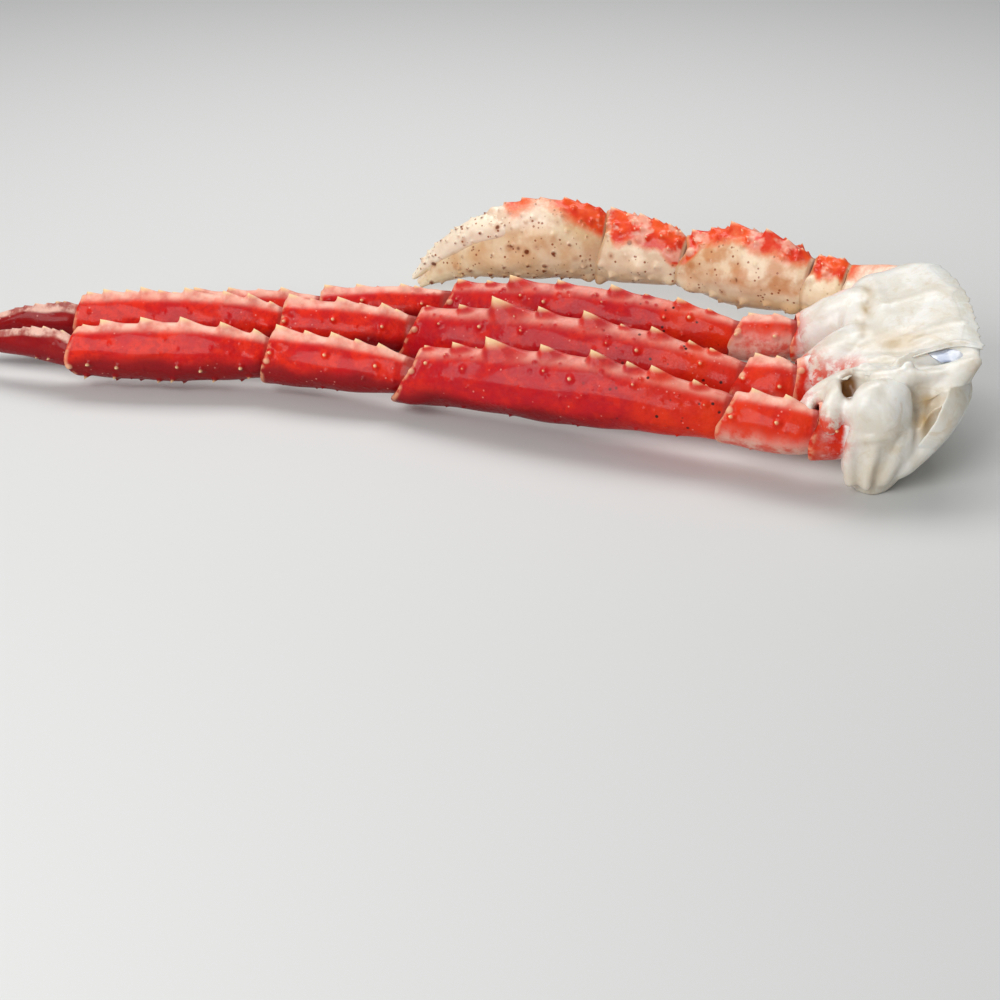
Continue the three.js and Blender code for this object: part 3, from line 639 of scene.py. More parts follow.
def cream_shell_material(name):
    """Cooked crab shell with little pigment: ivory lime and chitin, wet. Warts on it wear to brown horn,
    and burnt-looking dots mark where fine bristles stood."""
    made, tree, shader = new_material(name)
    found = patterns(tree, {
        "cloud": (18, 3, 0.6), "grain": (2.4, 3, 0.6), "blush": (11, 3), "fray": (6, 4, 0.7),
        "gap": (13, 3, 0.6), "cluster": (8, 1), "group": (14, 1), "wear": (9, 2, 0.6), "swelling": (7, 3)},
        {"dots": 3.4, "blotches": 11},
        ["lime", "deep", "flush", "red", "speck", "rim", "wart", "tip", "knob", "neck", "inside"])
    found["border"] = add(tree, "ShaderNodeMath", {0: found["fray"], 1: 0.7, 2: found["red"]},
                          operation="MULTIPLY_ADD").outputs[0]
    back = laid_over(tree, "#f0561c", found, [("#de3412", ("cloud", 0.4, 0.6))])
    colour = laid_over(tree, "#e6c491", found, [
        # ivory, whiter above with lime and a painted highlight, browner below as painted shade, and flushed
        # in clouds
        ("#f5e2bb", ("cloud", 0.35, 0.65)),
        ("#fcf0dc", "lime"),
        ("#b98b62", "deep"),
        ("#cc8850", ("blush", 0.4, 0.66, 0.15, 0.85), "flush"),
        # the red back, orange at its frayed border, with pale pink patches in it that are partly bare places
        # and partly painted highlight
        ("#ea7a48", ("border", 0.4, 0.85, 0, 0.8)),
        (back, ("border", 0.72, 1.15)),
        ("#f3b9a0", ("gap", 0.5, 0.62, 0, 0.75), "red"),
        # blotches with a halo, and dots
        ("#bd7842", ("blotches", 0.34, 0.1, 0, 0.5), "speck"),
        ("#9a5428", ("dots", 0.26, 0.14), ("cluster", 0.46, 0.54), "speck"),
        ("#723614", ("blotches", 0.18, 0.09), ("group", 0.46, 0.52), "speck"),
        # rim, worn warts, cream spine tips and knobs
        ("#c99a66", "rim", 0.6),
        ("#864620", ("tip", 0.24, 0.7), "wart", ("wear", 0.44, 0.56)),
        ("#f3cfa4", ("tip", 0.72, 1), "red"),
        ("#f4e0c4", ("knob", 0.2, 0.9, 0, 0.6)),
        ("#b98a6a", "neck"),
        ("#6b3a28", "inside"),
    ])
    wet_surface(tree, shader, colour, found, ("grain", 0.3, 0.7, 0.34, 0.5),
                (0.55, 1.0, ["swelling", 0.9], ["grain", 0.35]), {
        "IOR": 1.5, "Specular IOR Level": 0.25, "Coat Weight": 0.45, "Coat Roughness": 0.1, "Coat IOR": 1.36,
        "Subsurface Weight": 0.1, "Subsurface Radius": (0.004, 0.002, 0.001), "Subsurface Scale": 1.0})
    return made


claw_shell = cream_shell_material("wet_cooked_claw_shell")


def claw_colours(kind):
    """Colour layers of an arm piece: red above a line that wanders along each piece, cream below."""
    line = {"coxa": 0.7, "ischium": 0.66, "merus": 0.84, "carpus": 0.5, "palm": 0.72, "finger": 1.9}[kind]

    def layers(share, steep, across, wave, grown):
        level = line + 0.1 * wave
        if kind == "merus":
            level = level - 0.5 * smooth((share - 0.8) / 0.16)
        if kind == "carpus":
            level = level - 0.35 * (1 - smooth(share / 0.3)) + 0.3 * smooth((share - 0.75) / 0.2)
        if kind == "palm":
            level = level + 0.26 * smooth((share - 0.12) / 0.2) + 0.6 * smooth((share - 0.4) / 0.16)
            level = level - 0.2 * (1 - smooth(share / 0.15))
        back = smooth((-across - 0.1) / 0.6) * 0.55 * (kind != "finger")
        red = smooth((steep + back - level) / 0.5 + 0.5)
        if kind == "coxa":
            red = red * (0.3 + 0.4 * smooth((share - 0.7) / 0.25))
        # lime: whiter on all but the underside, partly lime and partly a painted highlight
        lime = {"finger": 0.75, "palm": 0.1, "carpus": 0.4, "coxa": 1}.get(kind, 0.3)
        lime = lime * smooth((steep + 0.7) / 0.5)
        # on the palm, the white band added along the top towards the finger is a painted highlight
        if kind == "palm":
            lime = lime + 0.8 * smooth((share - 0.15) / 0.2) * smooth((steep - 0.4) / 0.4)
        flush = {"merus": 1.0, "palm": 0.5, "carpus": 0.3}.get(kind, 0.2) * smooth((steep + 0.45) / 0.5)
        # deep: browner on the underside, a painted shade
        return {"red": red, "deep": 0.6 * smooth((-0.5 - steep) / 0.45), "flush": flush, "lime": lime,
                "speck": (1 - red) * {"coxa": 0.1, "ischium": 0.4}.get(kind, 0.95),
                "wart": (1 - red) * {"palm": 1 - smooth((steep - 0.8) / 0.1), "finger": 1}.get(kind, 0)}
    return layers


joints = np.array(CLAW_ARM, float)
wrist = unit(np.array([38, 108, 42.5]) - joints[-1])
for i, kind in enumerate(ARM_KINDS):
    far = wrist if kind == "carpus" else joint_normal(joints, i + 1)
    tube = limb(joints[i], joints[i + 1], joint_normal(joints, i), far, (0, 0, ARM_ARCH[kind]),
                ARM_HEIGHT[kind], ARM_WIDTH[kind])
    pimples = scattered(rng, 14, -60, 60, 0.7, 1.4) + scattered(rng, 14, 120, 240, 0.7, 1.4)
    piece = shell_piece(f"shell_claw_{kind}", tube, ARM_EDGE[kind], ARM_CREST[kind], ARM_ROWS[kind],
                        ARM_KNOBS[kind], pimples, ARM_COLUMNS, ARM_STEP, claw_shell, claw_colours(kind))
    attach(piece, "root")
    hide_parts(f"claw_{kind}")


# Claw: the palm and its fixed lower finger are one tube of shell, and the movable finger is hinged on
# the palm's fore corner and closes down beside it. Their warts wear to brown.
PALM_PATH = [[67, 103, 40], [38, 108, 42.5], [10, 112, 38], [-18, 122, 21.5], [-43, 134, 3.6]]
PALM_HEIGHT = [39, 44.5, 46, 46, 42, 33, 24, 15, 6]
PALM_WIDTH = [29, 33, 35, 34, 30, 25, 19, 13, 5]
FINGER_PATH = [[20, 109, 53], [2, 113, 48], [-14, 119, 39], [-32, 128, 25], [-47, 136, 7.5]]
FINGER_HEIGHT = [15, 18, 18, 16, 13, 9, 4]
FINGER_WIDTH = [20, 24, 22, 19, 15, 10, 4.5]
PALM_CREST = [(0.05, 1.6), (0.11, 1.4), (0.2, 2.8), (0.3, 1.4), (0.37, 2.2), (0.45, 1.8)]
PALM_ROWS = [(72, 0.05, 0.5, 6, 1.4, 2.2), (54, 0.05, 0.48, 6, 1.3, 2.2), (40, 0.1, 0.44, 4, 1.2, 2),
             (118, 0.05, 0.5, 6, 2.6, 2.6), (142, 0.05, 0.5, 5, 2.8, 2.8), (18, 0.12, 0.9, 6, 1.3, 1.9),
             (-6, 0.1, 0.9, 6, 1.4, 2.0), (-24, 0.12, 0.92, 7, 1.6, 2.2), (-42, 0.12, 0.92, 9, 1.5, 2.0),
             (-58, 0.12, 0.9, 8, 1.4, 1.8), (200, 0.1, 0.8, 6, 1.6, 2), (225, 0.1, 0.8, 6, 1.5, 1.8)]
PALM_KNOBS = [(-60, 0.05, 2.6, 6, 6), (40, 0.42, 1.8, 10, 7), (-20, 0.5, 1.4, 16, 9), (88, 0.51, 1.6, 5, 5),
              (62, 0.53, 1.4, 4, 4)]
FINGER_ROWS = [(90, 0.1, 0.9, 9, 1.5, 1.8), (66, 0.08, 0.88, 8, 1.4, 1.7), (42, 0.12, 0.88, 7, 1.4, 1.6),
               (18, 0.16, 0.85, 6, 1.2, 1.5), (-6, 0.2, 0.85, 5, 1, 1.4), (120, 0.12, 0.88, 7, 1.5, 1.7),
               (150, 0.2, 0.85, 6, 1.3, 1.6)]


def path_limb(path, height, width):
    """A tube on a parabola through the first, the middle and the last of the listed points. Its ends are
    square to the first and the last step, and its length is that of all the steps."""
    path = np.array(path, float)
    steps = np.linalg.norm(np.diff(path, axis=0), axis=1)
    middle = path[len(path) // 2]
    tube = limb(path[0], path[-1], unit(path[1] - path[0]), unit(path[-1] - path[-2]),
                middle - (path[0] + path[-1]) / 2, height, width)
    tube["length"] = steps.sum()
    return tube


for name, node, path, height, width, crest, rows, knobs, kind in (
        ("shell_claw_palm", "claw_palm", PALM_PATH, PALM_HEIGHT, PALM_WIDTH, PALM_CREST, PALM_ROWS,
         PALM_KNOBS, "palm"),
        ("shell_claw_finger", "claw_finger", FINGER_PATH, FINGER_HEIGHT, FINGER_WIDTH, [], FINGER_ROWS,
         [], "finger")):
    tube = path_limb(path, height, width)
    pimples = scattered(rng, 12, -70, 60, 0.8, 1.3) + scattered(rng, 12, 120, 240, 0.8, 1.3)
    piece = shell_piece(name, tube, [0] * 8, crest, rows, knobs, pimples, ARM_COLUMNS, ARM_STEP, claw_shell,
                        claw_colours(kind), tip=True)
    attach(piece, "root")
    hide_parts(node)


# Shoulder: the thin white inner walls and the meat between them, torn from the body along its midline,
# with the white skin that runs out over the coxae. It is one moist body, so its forms are laid into one
# another as closed surfaces and fused on a fine grid of cells, which rounds each place where they meet.
SHOULDER = np.array([
    # y, left, right, low, high, base
    [-124, 180, 205, 26, 34, 190], [-112, 176, 227, 38, 53, 195], [-95, 175, 241, 45, 62, 201],
    [-65, 178, 243, 50, 67, 208], [-30, 182, 244, 55, 71, 214], [0, 190, 239, 59, 72, 214],
    [18, 199, 226, 58, 66, 211]], float)
# Cells of the grid on which the forms are fused
CELL = 1.1


def shoulder_grid(rows, columns):
    """Rings across the shoulder: nine corners joined by a closed Catmull-Rom curve, their places taken
    from the sections by share of the way from the hind end to the fore end, which both round off."""
    v = np.linspace(0, 1, rows)
    y = SHOULDER[0, 0] + (SHOULDER[-1, 0] - SHOULDER[0, 0]) * v
    left, right, low, high, base = (np.interp(y, SHOULDER[:, 0], SHOULDER[:, k]) for k in range(1, 6))
    corners = np.stack([
        np.stack([left + 6, 0 * y - 4], -1), np.stack([base, 0 * y - 4], -1),
        np.stack([(base + right) / 2 + 5, high * 0.42], -1), np.stack([right - 2, high - 7], -1),
        np.stack([right, high - 0.8], -1), np.stack([right - 10, high + 0.4], -1),
        np.stack([(left + right) / 2, (low + high) / 2 + 2], -1), np.stack([left + 3, low], -1),
        np.stack([left, low * 0.5], -1)], 1)
    u = np.arange(columns) / columns * 9
    step = np.floor(u).astype(int)
    f = (u - step)[None, :, None]
    a, b, c, d = (corners[:, (step + k) % 9] for k in (-1, 0, 1, 2))
    ring = cubic(a, b, c, d, f)
    middle = ring.mean(1, keepdims=True)
    ends = np.maximum((0.07 - v) / 0.07, (v - 0.9) / 0.1).clip(0, 1)
    close = np.sqrt(np.clip(1 - ends ** 2.5, 0.01, 1))
    ring = middle + (ring - middle) * close[:, None, None]
    return np.stack([ring[..., 0], np.repeat(y[:, None], columns, 1), ring[..., 1]], -1)


def swept(path, tall, wide, rows=60, columns=48):
    """A tube through listed points: Catmull-Rom along them, with an ellipse tall x wide set square to the
    path, sine(angle) towards the sky and cosine(angle) across, and round ends."""
    t = np.linspace(0, 1, rows)
    centre = along(np.array(path, float), t)
    tangent = unit(np.gradient(centre, axis=0))
    side = unit(np.cross(np.array([0.02, 0.01, 1.0]), tangent))
    up = np.cross(tangent, side)
    close = np.sqrt(np.clip(1 - np.abs(2 * t - 1) ** 8, 0.02, 1))
    angle = np.arange(columns) / columns * 2 * math.pi
    across = np.cos(angle)[None, :, None] * (along(wide, t) / 2 * close)[:, None, None] * side[:, None, :]
    upright = np.sin(angle)[None, :, None] * (along(tall, t) / 2 * close)[:, None, None] * up[:, None, :]
    return centre[:, None, :] + across + upright


def ball_grid(centre, radii, rows=60, columns=96):
    """An ellipsoid with furrows down it: its radius grows by sines of the longitude, fading at the poles."""
    polar = np.linspace(0.02, math.pi - 0.02, rows)[:, None]
    round_ = (np.arange(columns) / columns * 2 * math.pi)[None, :]
    furrow = 0.03 * np.sin(5 * round_ + polar * 2) + 0.05 * np.sin(2 * round_ + 1)
    flat = np.sin(polar)
    ball = np.stack([flat * np.cos(round_), flat * np.sin(round_), np.cos(polar) + 0 * round_], -1)
    return np.array(centre) + ball * (1 + furrow * flat)[..., None] * np.array(radii)


# What is laid into the shoulder: a path, with the heights and the widths of the form on the way
SHOULDER_FORMS = [
    # white skin over the back, the middle and the front coxa
    ([(165.5, -7, 32), (174, -8, 34), (184, -10, 36.5), (196, -12, 38), (210, -16, 38)],
     [29, 32, 41, 50, 54], [27, 30, 37, 44, 46]),
    ([(160, -58.5, 28.4), (169, -57, 30), (180, -54, 33), (192, -49, 35), (206, -45, 36)],
     [32, 35, 42, 47, 48], [30, 33, 39, 45, 48]),
    ([(154, -97, 34), (163, -93, 39), (174, -91, 44), (187, -89, 46), (202, -88, 47)],
     [9, 14, 17, 19, 18], [8, 12, 15, 18, 18]),
    # curl of skin hanging at the front coxa, its knob, and a strand between them
    ([(158, -97, 38), (154, -104, 37), (152, -110, 33), (152, -114, 27)], [4, 5, 5, 3], [4, 5, 5, 3]),
    ([(173, -97, 47), (169, -106, 44), (166, -113, 38), (164.5, -117, 31)],
     [11, 13, 13, 7], [10, 12, 12, 7]),
    ([(161, -95, 41), (157, -103, 40), (155, -110, 35)], [5, 5, 3], [4, 5, 3]),
    # skin over the claw arm's coxa
    ([(233, -2, 49), (226, 8, 50), (219, 14.5, 49), (212, 20, 47.6)], [33, 33, 31, 28], [30, 31, 29, 26.5]),
    # thick outer lobe of the emptied chamber, and the bridge above the muscle
    ([(234, -99, 52), (230, -106, 43), (221, -112, 32), (209, -115, 21), (197, -117, 9)],
     [7, 8, 10, 13, 13], [7, 8, 10, 12, 12]),
    ([(186, -97, 52), (198, -101, 54), (212, -102, 54), (226, -98, 55)], [9, 10, 10, 9], [10, 12, 12, 10]),
    # lip of the second wall
    ([(200, -88, 54), (208, -86, 57.5), (219, -83, 60), (231, -81.5, 62.5), (243, -84, 63)],
     [9, 9, 8, 7, 5], [3.4, 3, 2.8, 2.8, 2.6]),
    # folds of the drapery under the muscle
    ([(192, -110, 38), (191, -111, 27), (187, -112.5, 15), (184, -113, 3)],
     [36, 38, 30, 21], [24, 26, 24, 20]),
    ([(178, -119, 38), (175.5, -120.5, 22), (177.5, -121, 5)], [7, 7, 7], [6, 6, 6]),
    ([(187, -124, 36), (185, -123.5, 20), (184.5, -122.5, 4)], [6, 7, 7], [5, 6, 6]),
    ([(201, -119, 36), (197, -121.5, 21), (191, -121.5, 6)], [7, 8, 7], [5, 6, 6]),
]
MUSCLE = ((189.5, -112.5, 42), (17.5, 14, 16.5))
# Lumps of torn tissue are strewn along this line, from over the last coxa to the lip of the second wall
TORN_RIDGE = [(155, -99, 38), (162, -98, 42), (170, -95, 47.5), (180, -94, 51), (192, -97, 54),
              (204, -96, 56)]
LUMPS = 34
LUMP_SPREAD = (1.6, 2.4, 1.5)
LUMP_RADII = (1.7, 3.6)
# Pressed in (-) or out (+) afterwards: centre, spread along X, Y and Z, how far
MEAT_FORMS = [
    # hole above the muscle, emptied chamber beside it, crease round the muscle
    ((176, -103, 49), (3.2, 6, 5), -5.5), ((214, -113, 46), (6.5, 9, 10), -9),
    ((207.5, -118, 42), (2.2, 8, 13), -4), ((174, -118, 46), (2.4, 8, 8), -2.4),
    # hollow in front of the fan, under the lip, and the swirl of tissue above it
    ((224, -90, 60), (14, 4, 5), -4.5), ((202, -72, 60), (14, 7, 6), -4), ((212, -70, 63), (9, 3, 6), 1.6),
    ((196, -78, 56), (7, 4, 6), 2.2), ((206, -62, 64), (12, 4, 6), -0.9),
    # seam where the fan meets the skin of the coxae, and the fan's folds
    ((200, -12, 64), (2, 8, 6), -1.1), ((196, -28, 61), (2, 10, 6), -1.2),
    ((191, -46, 57), (2.4, 10, 6), -0.8),
    ((203, -26, 64), (3.4, 26, 6), 1), ((222, -40, 69), (18, 4, 6), -0.4),
    ((222, -58, 66), (18, 4, 6), -0.35),
    # chambers between the inner walls, open on the torn side
    ((232, -80, 35), (26, 8, 13), -17), ((234, -47, 37), (26, 9, 14), -19),
    ((230, -14, 39), (26, 8, 14), -16),
    ((232, -64, 36), (24, 2.2, 19), 4.5), ((232, -31, 38), (24, 2.2, 19), 4.5),
    ((232, -79, 44), (20, 6, 2.4), 2.5), ((232, -46, 30), (20, 7, 2.6), 3),
    ((228, -12, 45), (20, 6, 2.4), 2.5),
    # gaps between the coxae on the leg side
    ((176, -80, 20), (10, 6, 20), -6), ((180, -30, 24), (10, 7, 22), -6), ((188, 14, 28), (10, 7, 24), -4),
]
# Marks by the name of their layer: centre, spread, strength. In the brown and tan layers, those in the hole,
# the hollows, the chambers and under folds are painted shade; the others are blood seams and stitches, and
# the pink ones are where the shell's pigment ran.
MARKS_AND_SHADE = {
    "brown": [
        # painted shade in the hole above the muscle and just below it
        ((176, -101, 48), (4.2, 9, 7), 1.7), ((172, -104, 38), (2, 6, 7), 0.3),
        ((200, -12, 64), (1.6, 4, 6), 0.3),
        ((197, -24, 62), (1.4, 3, 6), 0.42), ((195, -32, 61), (1.4, 3, 6), 0.4),
        ((192, -44, 58), (1.8, 4, 6), 0.35), ((189, -56, 57), (2.4, 3, 6), 0.35),
        # painted shade beside the hollow in front of the fan, and a thin line along the lip
        ((206, -80, 59), (4, 4, 4), 0.35), ((226, -82, 62), (16, 1.5, 3), 0.25),
        # painted shade in the three chambers between the inner walls
        ((222, -80, 33), (14, 6, 10), 0.6), ((220, -47, 34), (14, 7, 11), 0.6),
        ((216, -14, 37), (14, 6, 11), 0.6)],
    "tan": [
        ((199, -16, 63), (2.6, 9, 7), 0.8), ((195, -32, 60), (2.6, 9, 7), 0.8),
        ((190, -48, 57), (3, 9, 7), 0.7),
        # painted shade in the emptied chamber, under the fold of the fan, under the chamber's lobe, low on
        # the drapery, under the bridge above the muscle and in the hollow under the lip
        ((212, -115, 45), (6, 9, 10), 1.2), ((204, -66, 60), (13, 9, 8), 0.85),
        ((208, -120, 34), (7, 7, 12), 0.35), ((186, -122, 14), (12, 8, 14), 0.4),
        ((198, -108, 50), (14, 6, 6), 0.3), ((235, -95, 55), (8, 9, 8), 0.4)],
    "pink": [
        ((163, -8, 36), (7, 16, 13), 0.9), ((160, -59, 36), (9, 16, 14), 1.3),
        ((172, -76, 46), (11, 8, 10), 1.7),
        ((158, -96, 38), (7, 8, 9), 0.7), ((164.5, -117, 31), (8, 8, 8), 2.6),
        ((152, -112, 28), (6, 6, 7), 1.2),
        ((161, -110, 35), (5, 6, 6), 0.9), ((204, 16, 56), (12, 8, 14), 0.7),
        ((170, -100, 20), (5, 20, 16), 0.6),
        ((178, -56, 16), (8, 22, 14), 0.8), ((182, -8, 20), (8, 22, 16), 0.8)],
}


def gathered(points, forms):
    """Sum over the forms of amount x exp(-distance^2), the distance counted in the form's own spreads."""
    total = np.zeros(points.shape[:-1])
    for centre, spread, amount in forms:
        d = (points - np.array(centre)) / np.array(spread)
        total += amount * np.exp(-np.sum(d * d, -1))
    return total


def membrane_material(name):
    """Boiled crab membrane and meat: moist protein, milky and soft to light, with brown blood seams, tan and
    brown painted shade in its hollows and chambers, and pink where the shell's pigment ran. A film of water
    gives it small sharp highlights."""
    made, tree, shader = new_material(name)
    found = patterns(tree, {
        "cloud": (22, 4, 0.6, 0.6), "fibre": (3, 3, 0.6), "vein": (14, 4, 0.7, 1), "tan_mottle": (8, 3),
        "run": (6, 4, 0.7), "fold": (9, 4, 0.6, 1.2)}, {}, ["tan", "brown", "pink"])
    colour = laid_over(tree, "#ddd6c8", found, [
        ("#edeae3", ("cloud", 0.35, 0.65)),
        ("#cbb592", ("vein", 0.5, 0.72, 0, 0.4)),
        # tan and brown: seams and stitches, and painted shade in the hollows and chambers
        ("#c6a878", "tan", ("tan_mottle", 0.3, 0.7, 0.6, 1)),
        ("#7c4f1e", ("brown", 0.05, 0.95)),
        ("#d8462c", "pink", ("run", 0.42, 0.58, 0.2, 1)),
    ])
    wet_surface(tree, shader, colour, found, ("fibre", 0.3, 0.7, 0.3, 0.5),
                (0.45, 0.7, ["fold"], ["fibre", 0.25]), {
        "IOR": 1.42, "Specular IOR Level": 0.4, "Coat Weight": 0.5, "Coat Roughness": 0.12, "Coat IOR": 1.34,
        "Subsurface Weight": 0.3, "Subsurface Radius": (0.006, 0.004, 0.0028), "Subsurface Scale": 1.0})
    return made


def fused(name, grids, material):
    """One closed mesh from closed grids laid into one another: a voxel remesh of them all, then smoothed."""
    verts, faces, count = [], [], 0
    for grid in grids:
        places, quads, fans = wrapped(grid)
        verts.append(places)
        faces += (quads + count).tolist() + (fans + count).tolist()
        count += len(places)
    mesh = bpy.data.meshes.new(name)
    mesh.from_pydata(((np.concatenate(verts) + MOVE) * SCALE).tolist(), [], faces)
    rough = bpy.data.objects.new(name + "_rough", mesh)
    bpy.context.scene.collection.objects.link(rough)
    remesh = rough.modifiers.new("fuse", "REMESH")
    remesh.mode = "VOXEL"
    remesh.voxel_size = CELL * SCALE
    even = rough.modifiers.new("even", "SMOOTH")
    even.factor = 0.5
    even.iterations = 7
    whole = bpy.data.meshes.new_from_object(rough.evaluated_get(bpy.context.evaluated_depsgraph_get()))
    bpy.data.objects.remove(rough)
    whole.materials.clear()
    whole.materials.append(material)
    whole.polygons.foreach_set("use_smooth", np.ones(len(whole.polygons), bool))
    piece = bpy.data.objects.new(name, whole)
    bpy.context.scene.collection.objects.link(piece)
    return piece


meat = membrane_material("moist_boiled_membrane")
grids = [shoulder_grid(120, 150), ball_grid(*MUSCLE)]
grids += [swept(path, tall, wide) for path, tall, wide in SHOULDER_FORMS]
draw = np.random.default_rng(31)
for at in along(np.array(TORN_RIDGE, float), np.linspace(0, 1, LUMPS)):
    grids.append(ball_grid(at + draw.normal(size=3) * LUMP_SPREAD, draw.uniform(*LUMP_RADII, 3), 16, 24))
flesh = fused("shoulder_flesh", grids, meat)
places, normals = np.empty((2, len(flesh.data.vertices) * 3))
flesh.data.vertices.foreach_get("co", places)
flesh.data.vertices.foreach_get("normal", normals)
points = places.reshape(-1, 3) / SCALE - MOVE
normals = normals.reshape(-1, 3)
# Wrinkles are sums of sines of the place, times WRINKLE in mm, full on the torn tissue and nearly calm
# on the fan
WRINKLE = 0.3
x, y, z = points.T
wrinkle = 0.5 * np.sin(x / 2.3 + 2 * np.sin(y / 7) + z / 4) + 0.6 * np.sin(y / 3.1 + 2.5 * np.sin(x / 9 + 1))
wrinkle = wrinkle + 0.35 * np.sin(y / 1.7 + x / 5 + 3 * np.sin(z / 8))
calm = 0.06 + 0.94 * smooth((200 - x) / 14 + smooth((-70 - y) / 12))
points = points + (gathered(points, MEAT_FORMS) + WRINKLE * calm * wrinkle)[:, None] * normals
points[:, 2] = np.maximum(points[:, 2], CLEAR)
flesh.data.vertices.foreach_set("co", ((points + MOVE) * SCALE).ravel())
for layer, marks_and_shade in MARKS_AND_SHADE.items():
    set_layer(flesh.data, layer, np.clip(gathered(points, marks_and_shade), 0, 1))
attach(flesh, "root")
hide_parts("shoulder")


# Torn walls: sheets of the inner skeleton, half a millimetre of chitin with membrane on both sides. They
# run out of the flesh, their free edges nicked where the body was pulled apart.
NICK = 3.4


def ribbon(front, thick):
    """Closed rings for a thin sheet: a grid of points, and the same grid thick further back along its
    normal, which thins to nothing at the sheet's long edges."""
    normal = unit(np.cross(np.gradient(front, axis=0), np.gradient(front, axis=1)))
    share = np.linspace(0, 1, front.shape[1])
    half = thick / 2 * np.sqrt(np.clip(1 - (2 * share - 1) ** 6, 0.02, 1))[None, :, None]
    return np.concatenate([front + half * normal, (front - half * normal)[:, ::-1]], 1)


def torn_sheet(name, lines, thick, tear, material, seed, rows=220, columns=26):
    """A sheet through a list of lines of equal length, the first inside the flesh and the last at the
    free edge: Catmull-Rom along each line and across them. The edge is nicked by a draw of steps about
    NICK long and finer ones of 1 mm, joined smoothly, which fade as the third power of the way back."""
    u = np.linspace(0, 1, rows)
    dense = np.stack([along(np.array(line, float), u) for line in lines], 0)
    v = np.linspace(0, 1, columns)
    grid = np.stack([along(dense[:, i], v) for i in range(rows)], 0)
    out = unit(grid[:, -1] - grid[:, -4])
    draw = np.random.default_rng(seed)
    length = np.linalg.norm(np.diff(dense[-1], axis=0), axis=1).sum()
    nick = along(draw.uniform(-1, 1, int(length / NICK) + 4), u)
    nick = nick + 0.35 * along(draw.uniform(-1, 1, int(length)), u)
    grid = grid + (tear * v ** 3)[None, :, None] * nick[:, None, None] * out[:, None, :]
    sheet = ribbon(grid, thick)
    flat = np.zeros(sheet.shape[:2])
    made = skin(name, sheet, {"tan": flat + 0.15, "brown": flat, "pink": flat}, material)
    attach(made, "root")


# Points of the flesh that face the sky
upper = points[normals[:, 2] > 0.6]


def laid(line, lift):
    """A line of points brought to the height of the flesh's upper skin below it, and lifted."""
    line = along(np.array(line, float), np.linspace(0, 1, 16))
    below = np.argmin(np.sum((line[:, None, :2] - upper[None, :, :2]) ** 2, -1), 1)
    height = upper[below, 2] + lift
    line[:, 2] = np.convolve(np.pad(height, 1, mode="edge"), [0.25, 0.5, 0.25], "valid")
    return line


torn_sheet("shoulder_torn_edge", [
    laid([(219, 12, 0), (226, -1, 0), (231, -18, 0), (234, -45, 0), (233, -68, 0), (230, -84, 0)], -0.9),
    laid([(223, 14, 0), (231, 0, 0), (236.5, -17, 0), (239, -45, 0), (238, -68, 0), (236, -86, 0)], -0.35),
    laid([(227, 17, 0), (236.5, 1, 0), (242.5, -16, 0), (245, -45, 0), (244, -68, 0), (243, -87, 0)], 0.5)],
    1.0, 1.0, meat, 11)
torn_sheet("shoulder_wall_lip", [
    [(208, -84, 54), (217, -82, 56.5), (230, -81, 59), (240, -83, 59)],
    [(208, -85, 57.5), (217, -84, 60), (230, -82.5, 62.5), (242, -84, 62)],
    [(209, -87.5, 59.5), (218, -86.5, 62), (231, -85, 64), (242, -86, 62.5)]], 0.7, 0.5, meat, 13)
torn_sheet("shoulder_chamber_lobe", [
    [(235, -100, 51), (232, -108, 42), (223, -114.5, 29), (211, -117, 15)],
    [(229.5, -108, 54), (227, -114.5, 45), (220.5, -118.8, 32), (209, -117.5, 18)],
    [(221.5, -113.5, 55.5), (217.5, -118.5, 47), (213, -121, 36.5), (206, -117, 22)]], 1.5, 0.3, meat, 15)


# Scraps: where the wall over the last coxa tore, short strips of its membrane lie over one another. Each
# bows away from its root and curls at its free edge.
SCRAPS = [
    # middle of the root, run of the strip, how it leans out, length, height
    ((165, -96, 44), (0.8, 0.1, 0.5), (-0.1, -0.75, 0.6), 8, 3),
    ((176, -93, 50), (0.9, 0.1, 0.3), (0.1, -0.6, 0.8), 8, 3.4),
    ((186, -95, 53), (0.9, -0.2, 0.2), (-0.1, -0.8, 0.7), 9, 3.2),
    ((196, -98, 55), (0.9, -0.3, 0.1), (0.1, -0.85, 0.55), 9, 3.4),
]
for number, (root, run, lean, length, tall) in enumerate(SCRAPS):
    root, run, lean = np.array(root, float), unit(np.array(run, float)), unit(np.array(lean, float))
    line = np.array([root + run * length * share for share in (-0.5, -0.2, 0.15, 0.5)])
    bow = np.array([-1, 0.5, 0.7, -0.8])[:, None] * lean
    curl = np.array([-0.4, 1, 0.3, -0.7])[:, None] * np.cross(run, lean)
    torn_sheet(f"shoulder_scrap_{number + 1}", [
        line - lean * 2.5, line + lean * tall * 0.5 + bow,
        line + lean * tall * 0.9 + 1.2 * bow + 1.6 * curl], 0.8, 0.8, meat, 20 + number)
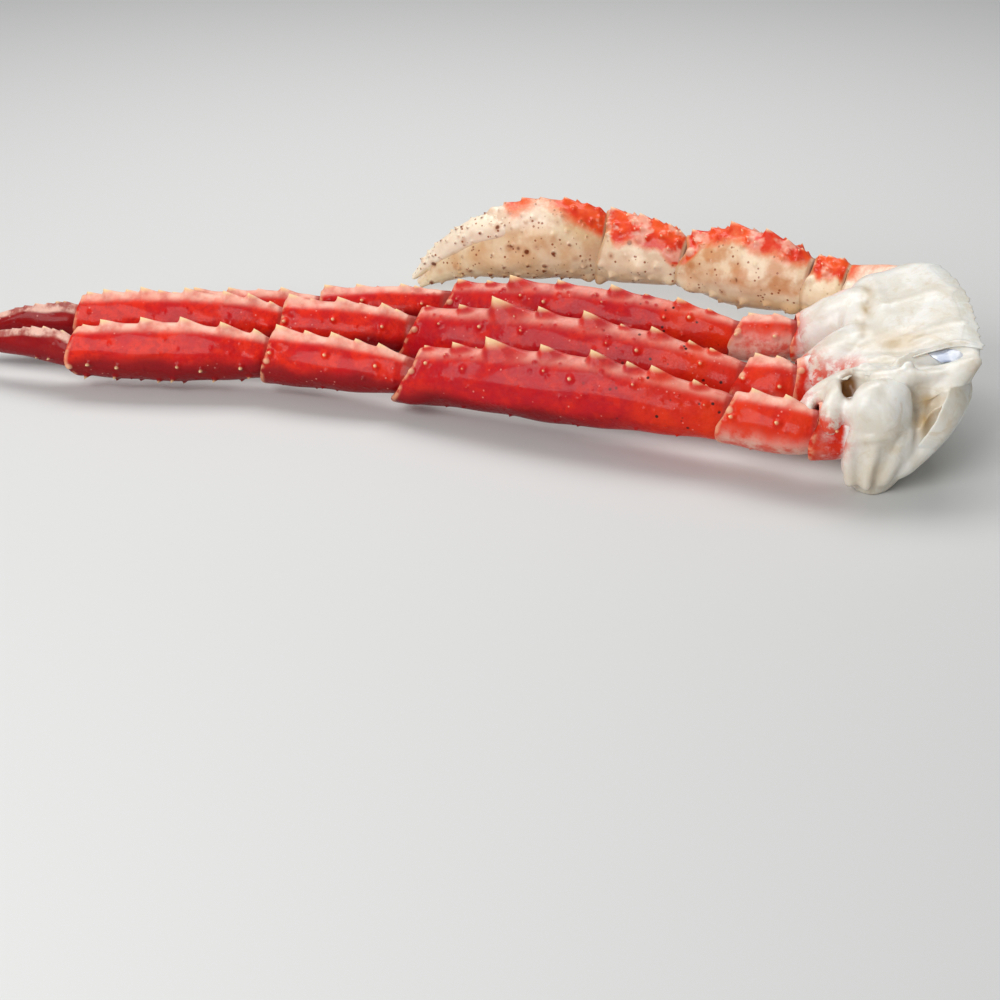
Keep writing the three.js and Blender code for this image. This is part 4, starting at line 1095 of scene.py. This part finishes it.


# Clear flap: a scrap of the gut lining without any lime in it, half clear like wet film, that lies against
# the second wall where it catches the light. Its bluish white colour is a painted reflection, the glassy
# highlight of that place.
glint_film, tree, shader = new_material("film_with_painted_glint")
found = patterns(tree, {"cloud": (8, 3), "smear": (5, 2)}, {}, [])
glint_tint = laid_over(tree, "#b9c4dc", found, [("#e6eaf2", ("cloud", 0.4, 0.6))])
wet_surface(tree, shader, glint_tint, found, ("smear", 0.3, 0.7, 0.08, 0.2), None, {
    "IOR": 1.4, "Transmission Weight": 0.3, "Coat Weight": 0.6, "Coat Roughness": 0.06})
torn_sheet("shoulder_glint_flap", [
    [(216, -84, 60), (223, -84, 61.5), (230, -85, 62.5), (236, -86, 61.5)],
    [(218, -89, 59.6), (225, -89.5, 61), (231, -90, 61), (237, -90, 60)],
    [(221, -93, 59), (227, -94, 59.8), (233, -94, 59), (237, -93, 58)]], 0.5, 0.3, glint_film, 14)


# Floor and light: a pale matt table and sky, with a wide soft light above and behind, as from a window,
# which lays the pale band on every crest, and one of about that strength from the front left.
floor_material, tree, shader = new_material("pale_matt_table")
shader.inputs["Base Color"].default_value = paint("#d2d2d0")
shader.inputs["Roughness"].default_value = 0.85
bpy.ops.mesh.primitive_plane_add(size=8)
table = bpy.context.object
table.name = "table"
table.data.materials.append(floor_material)
sky = bpy.data.worlds.new("sky")
sky.use_nodes = True
sky.node_tree.nodes["Background"].inputs["Color"].default_value = paint("#e8ecef")
sky.node_tree.nodes["Background"].inputs["Strength"].default_value = 0.3
bpy.context.scene.world = sky
bpy.context.scene.view_settings.view_transform = "Standard"


def softbox(name, place, aim, wide, deep, watts):
    """A soft rectangular light at a place, turned to face a point."""
    data = bpy.data.lights.new(name, "AREA")
    data.shape = "RECTANGLE"
    data.size = wide
    data.size_y = deep
    data.energy = watts
    made = bpy.data.objects.new(name, data)
    made.location = place
    away = np.array(place, float) - np.array(aim, float)
    yaw = math.atan2(away[1], away[0]) + math.pi / 2
    made.rotation_euler = (math.atan2(math.hypot(away[0], away[1]), away[2]), 0, yaw)
    bpy.context.scene.collection.objects.link(made)


softbox("window_light", (0.0, 0.45, 0.95), (0, 0, 0.03), 1.2, 0.5, 8.2)
softbox("front_fill", (-0.6, -0.9, 0.75), (0, 0, 0.02), 0.8, 0.8, 12)
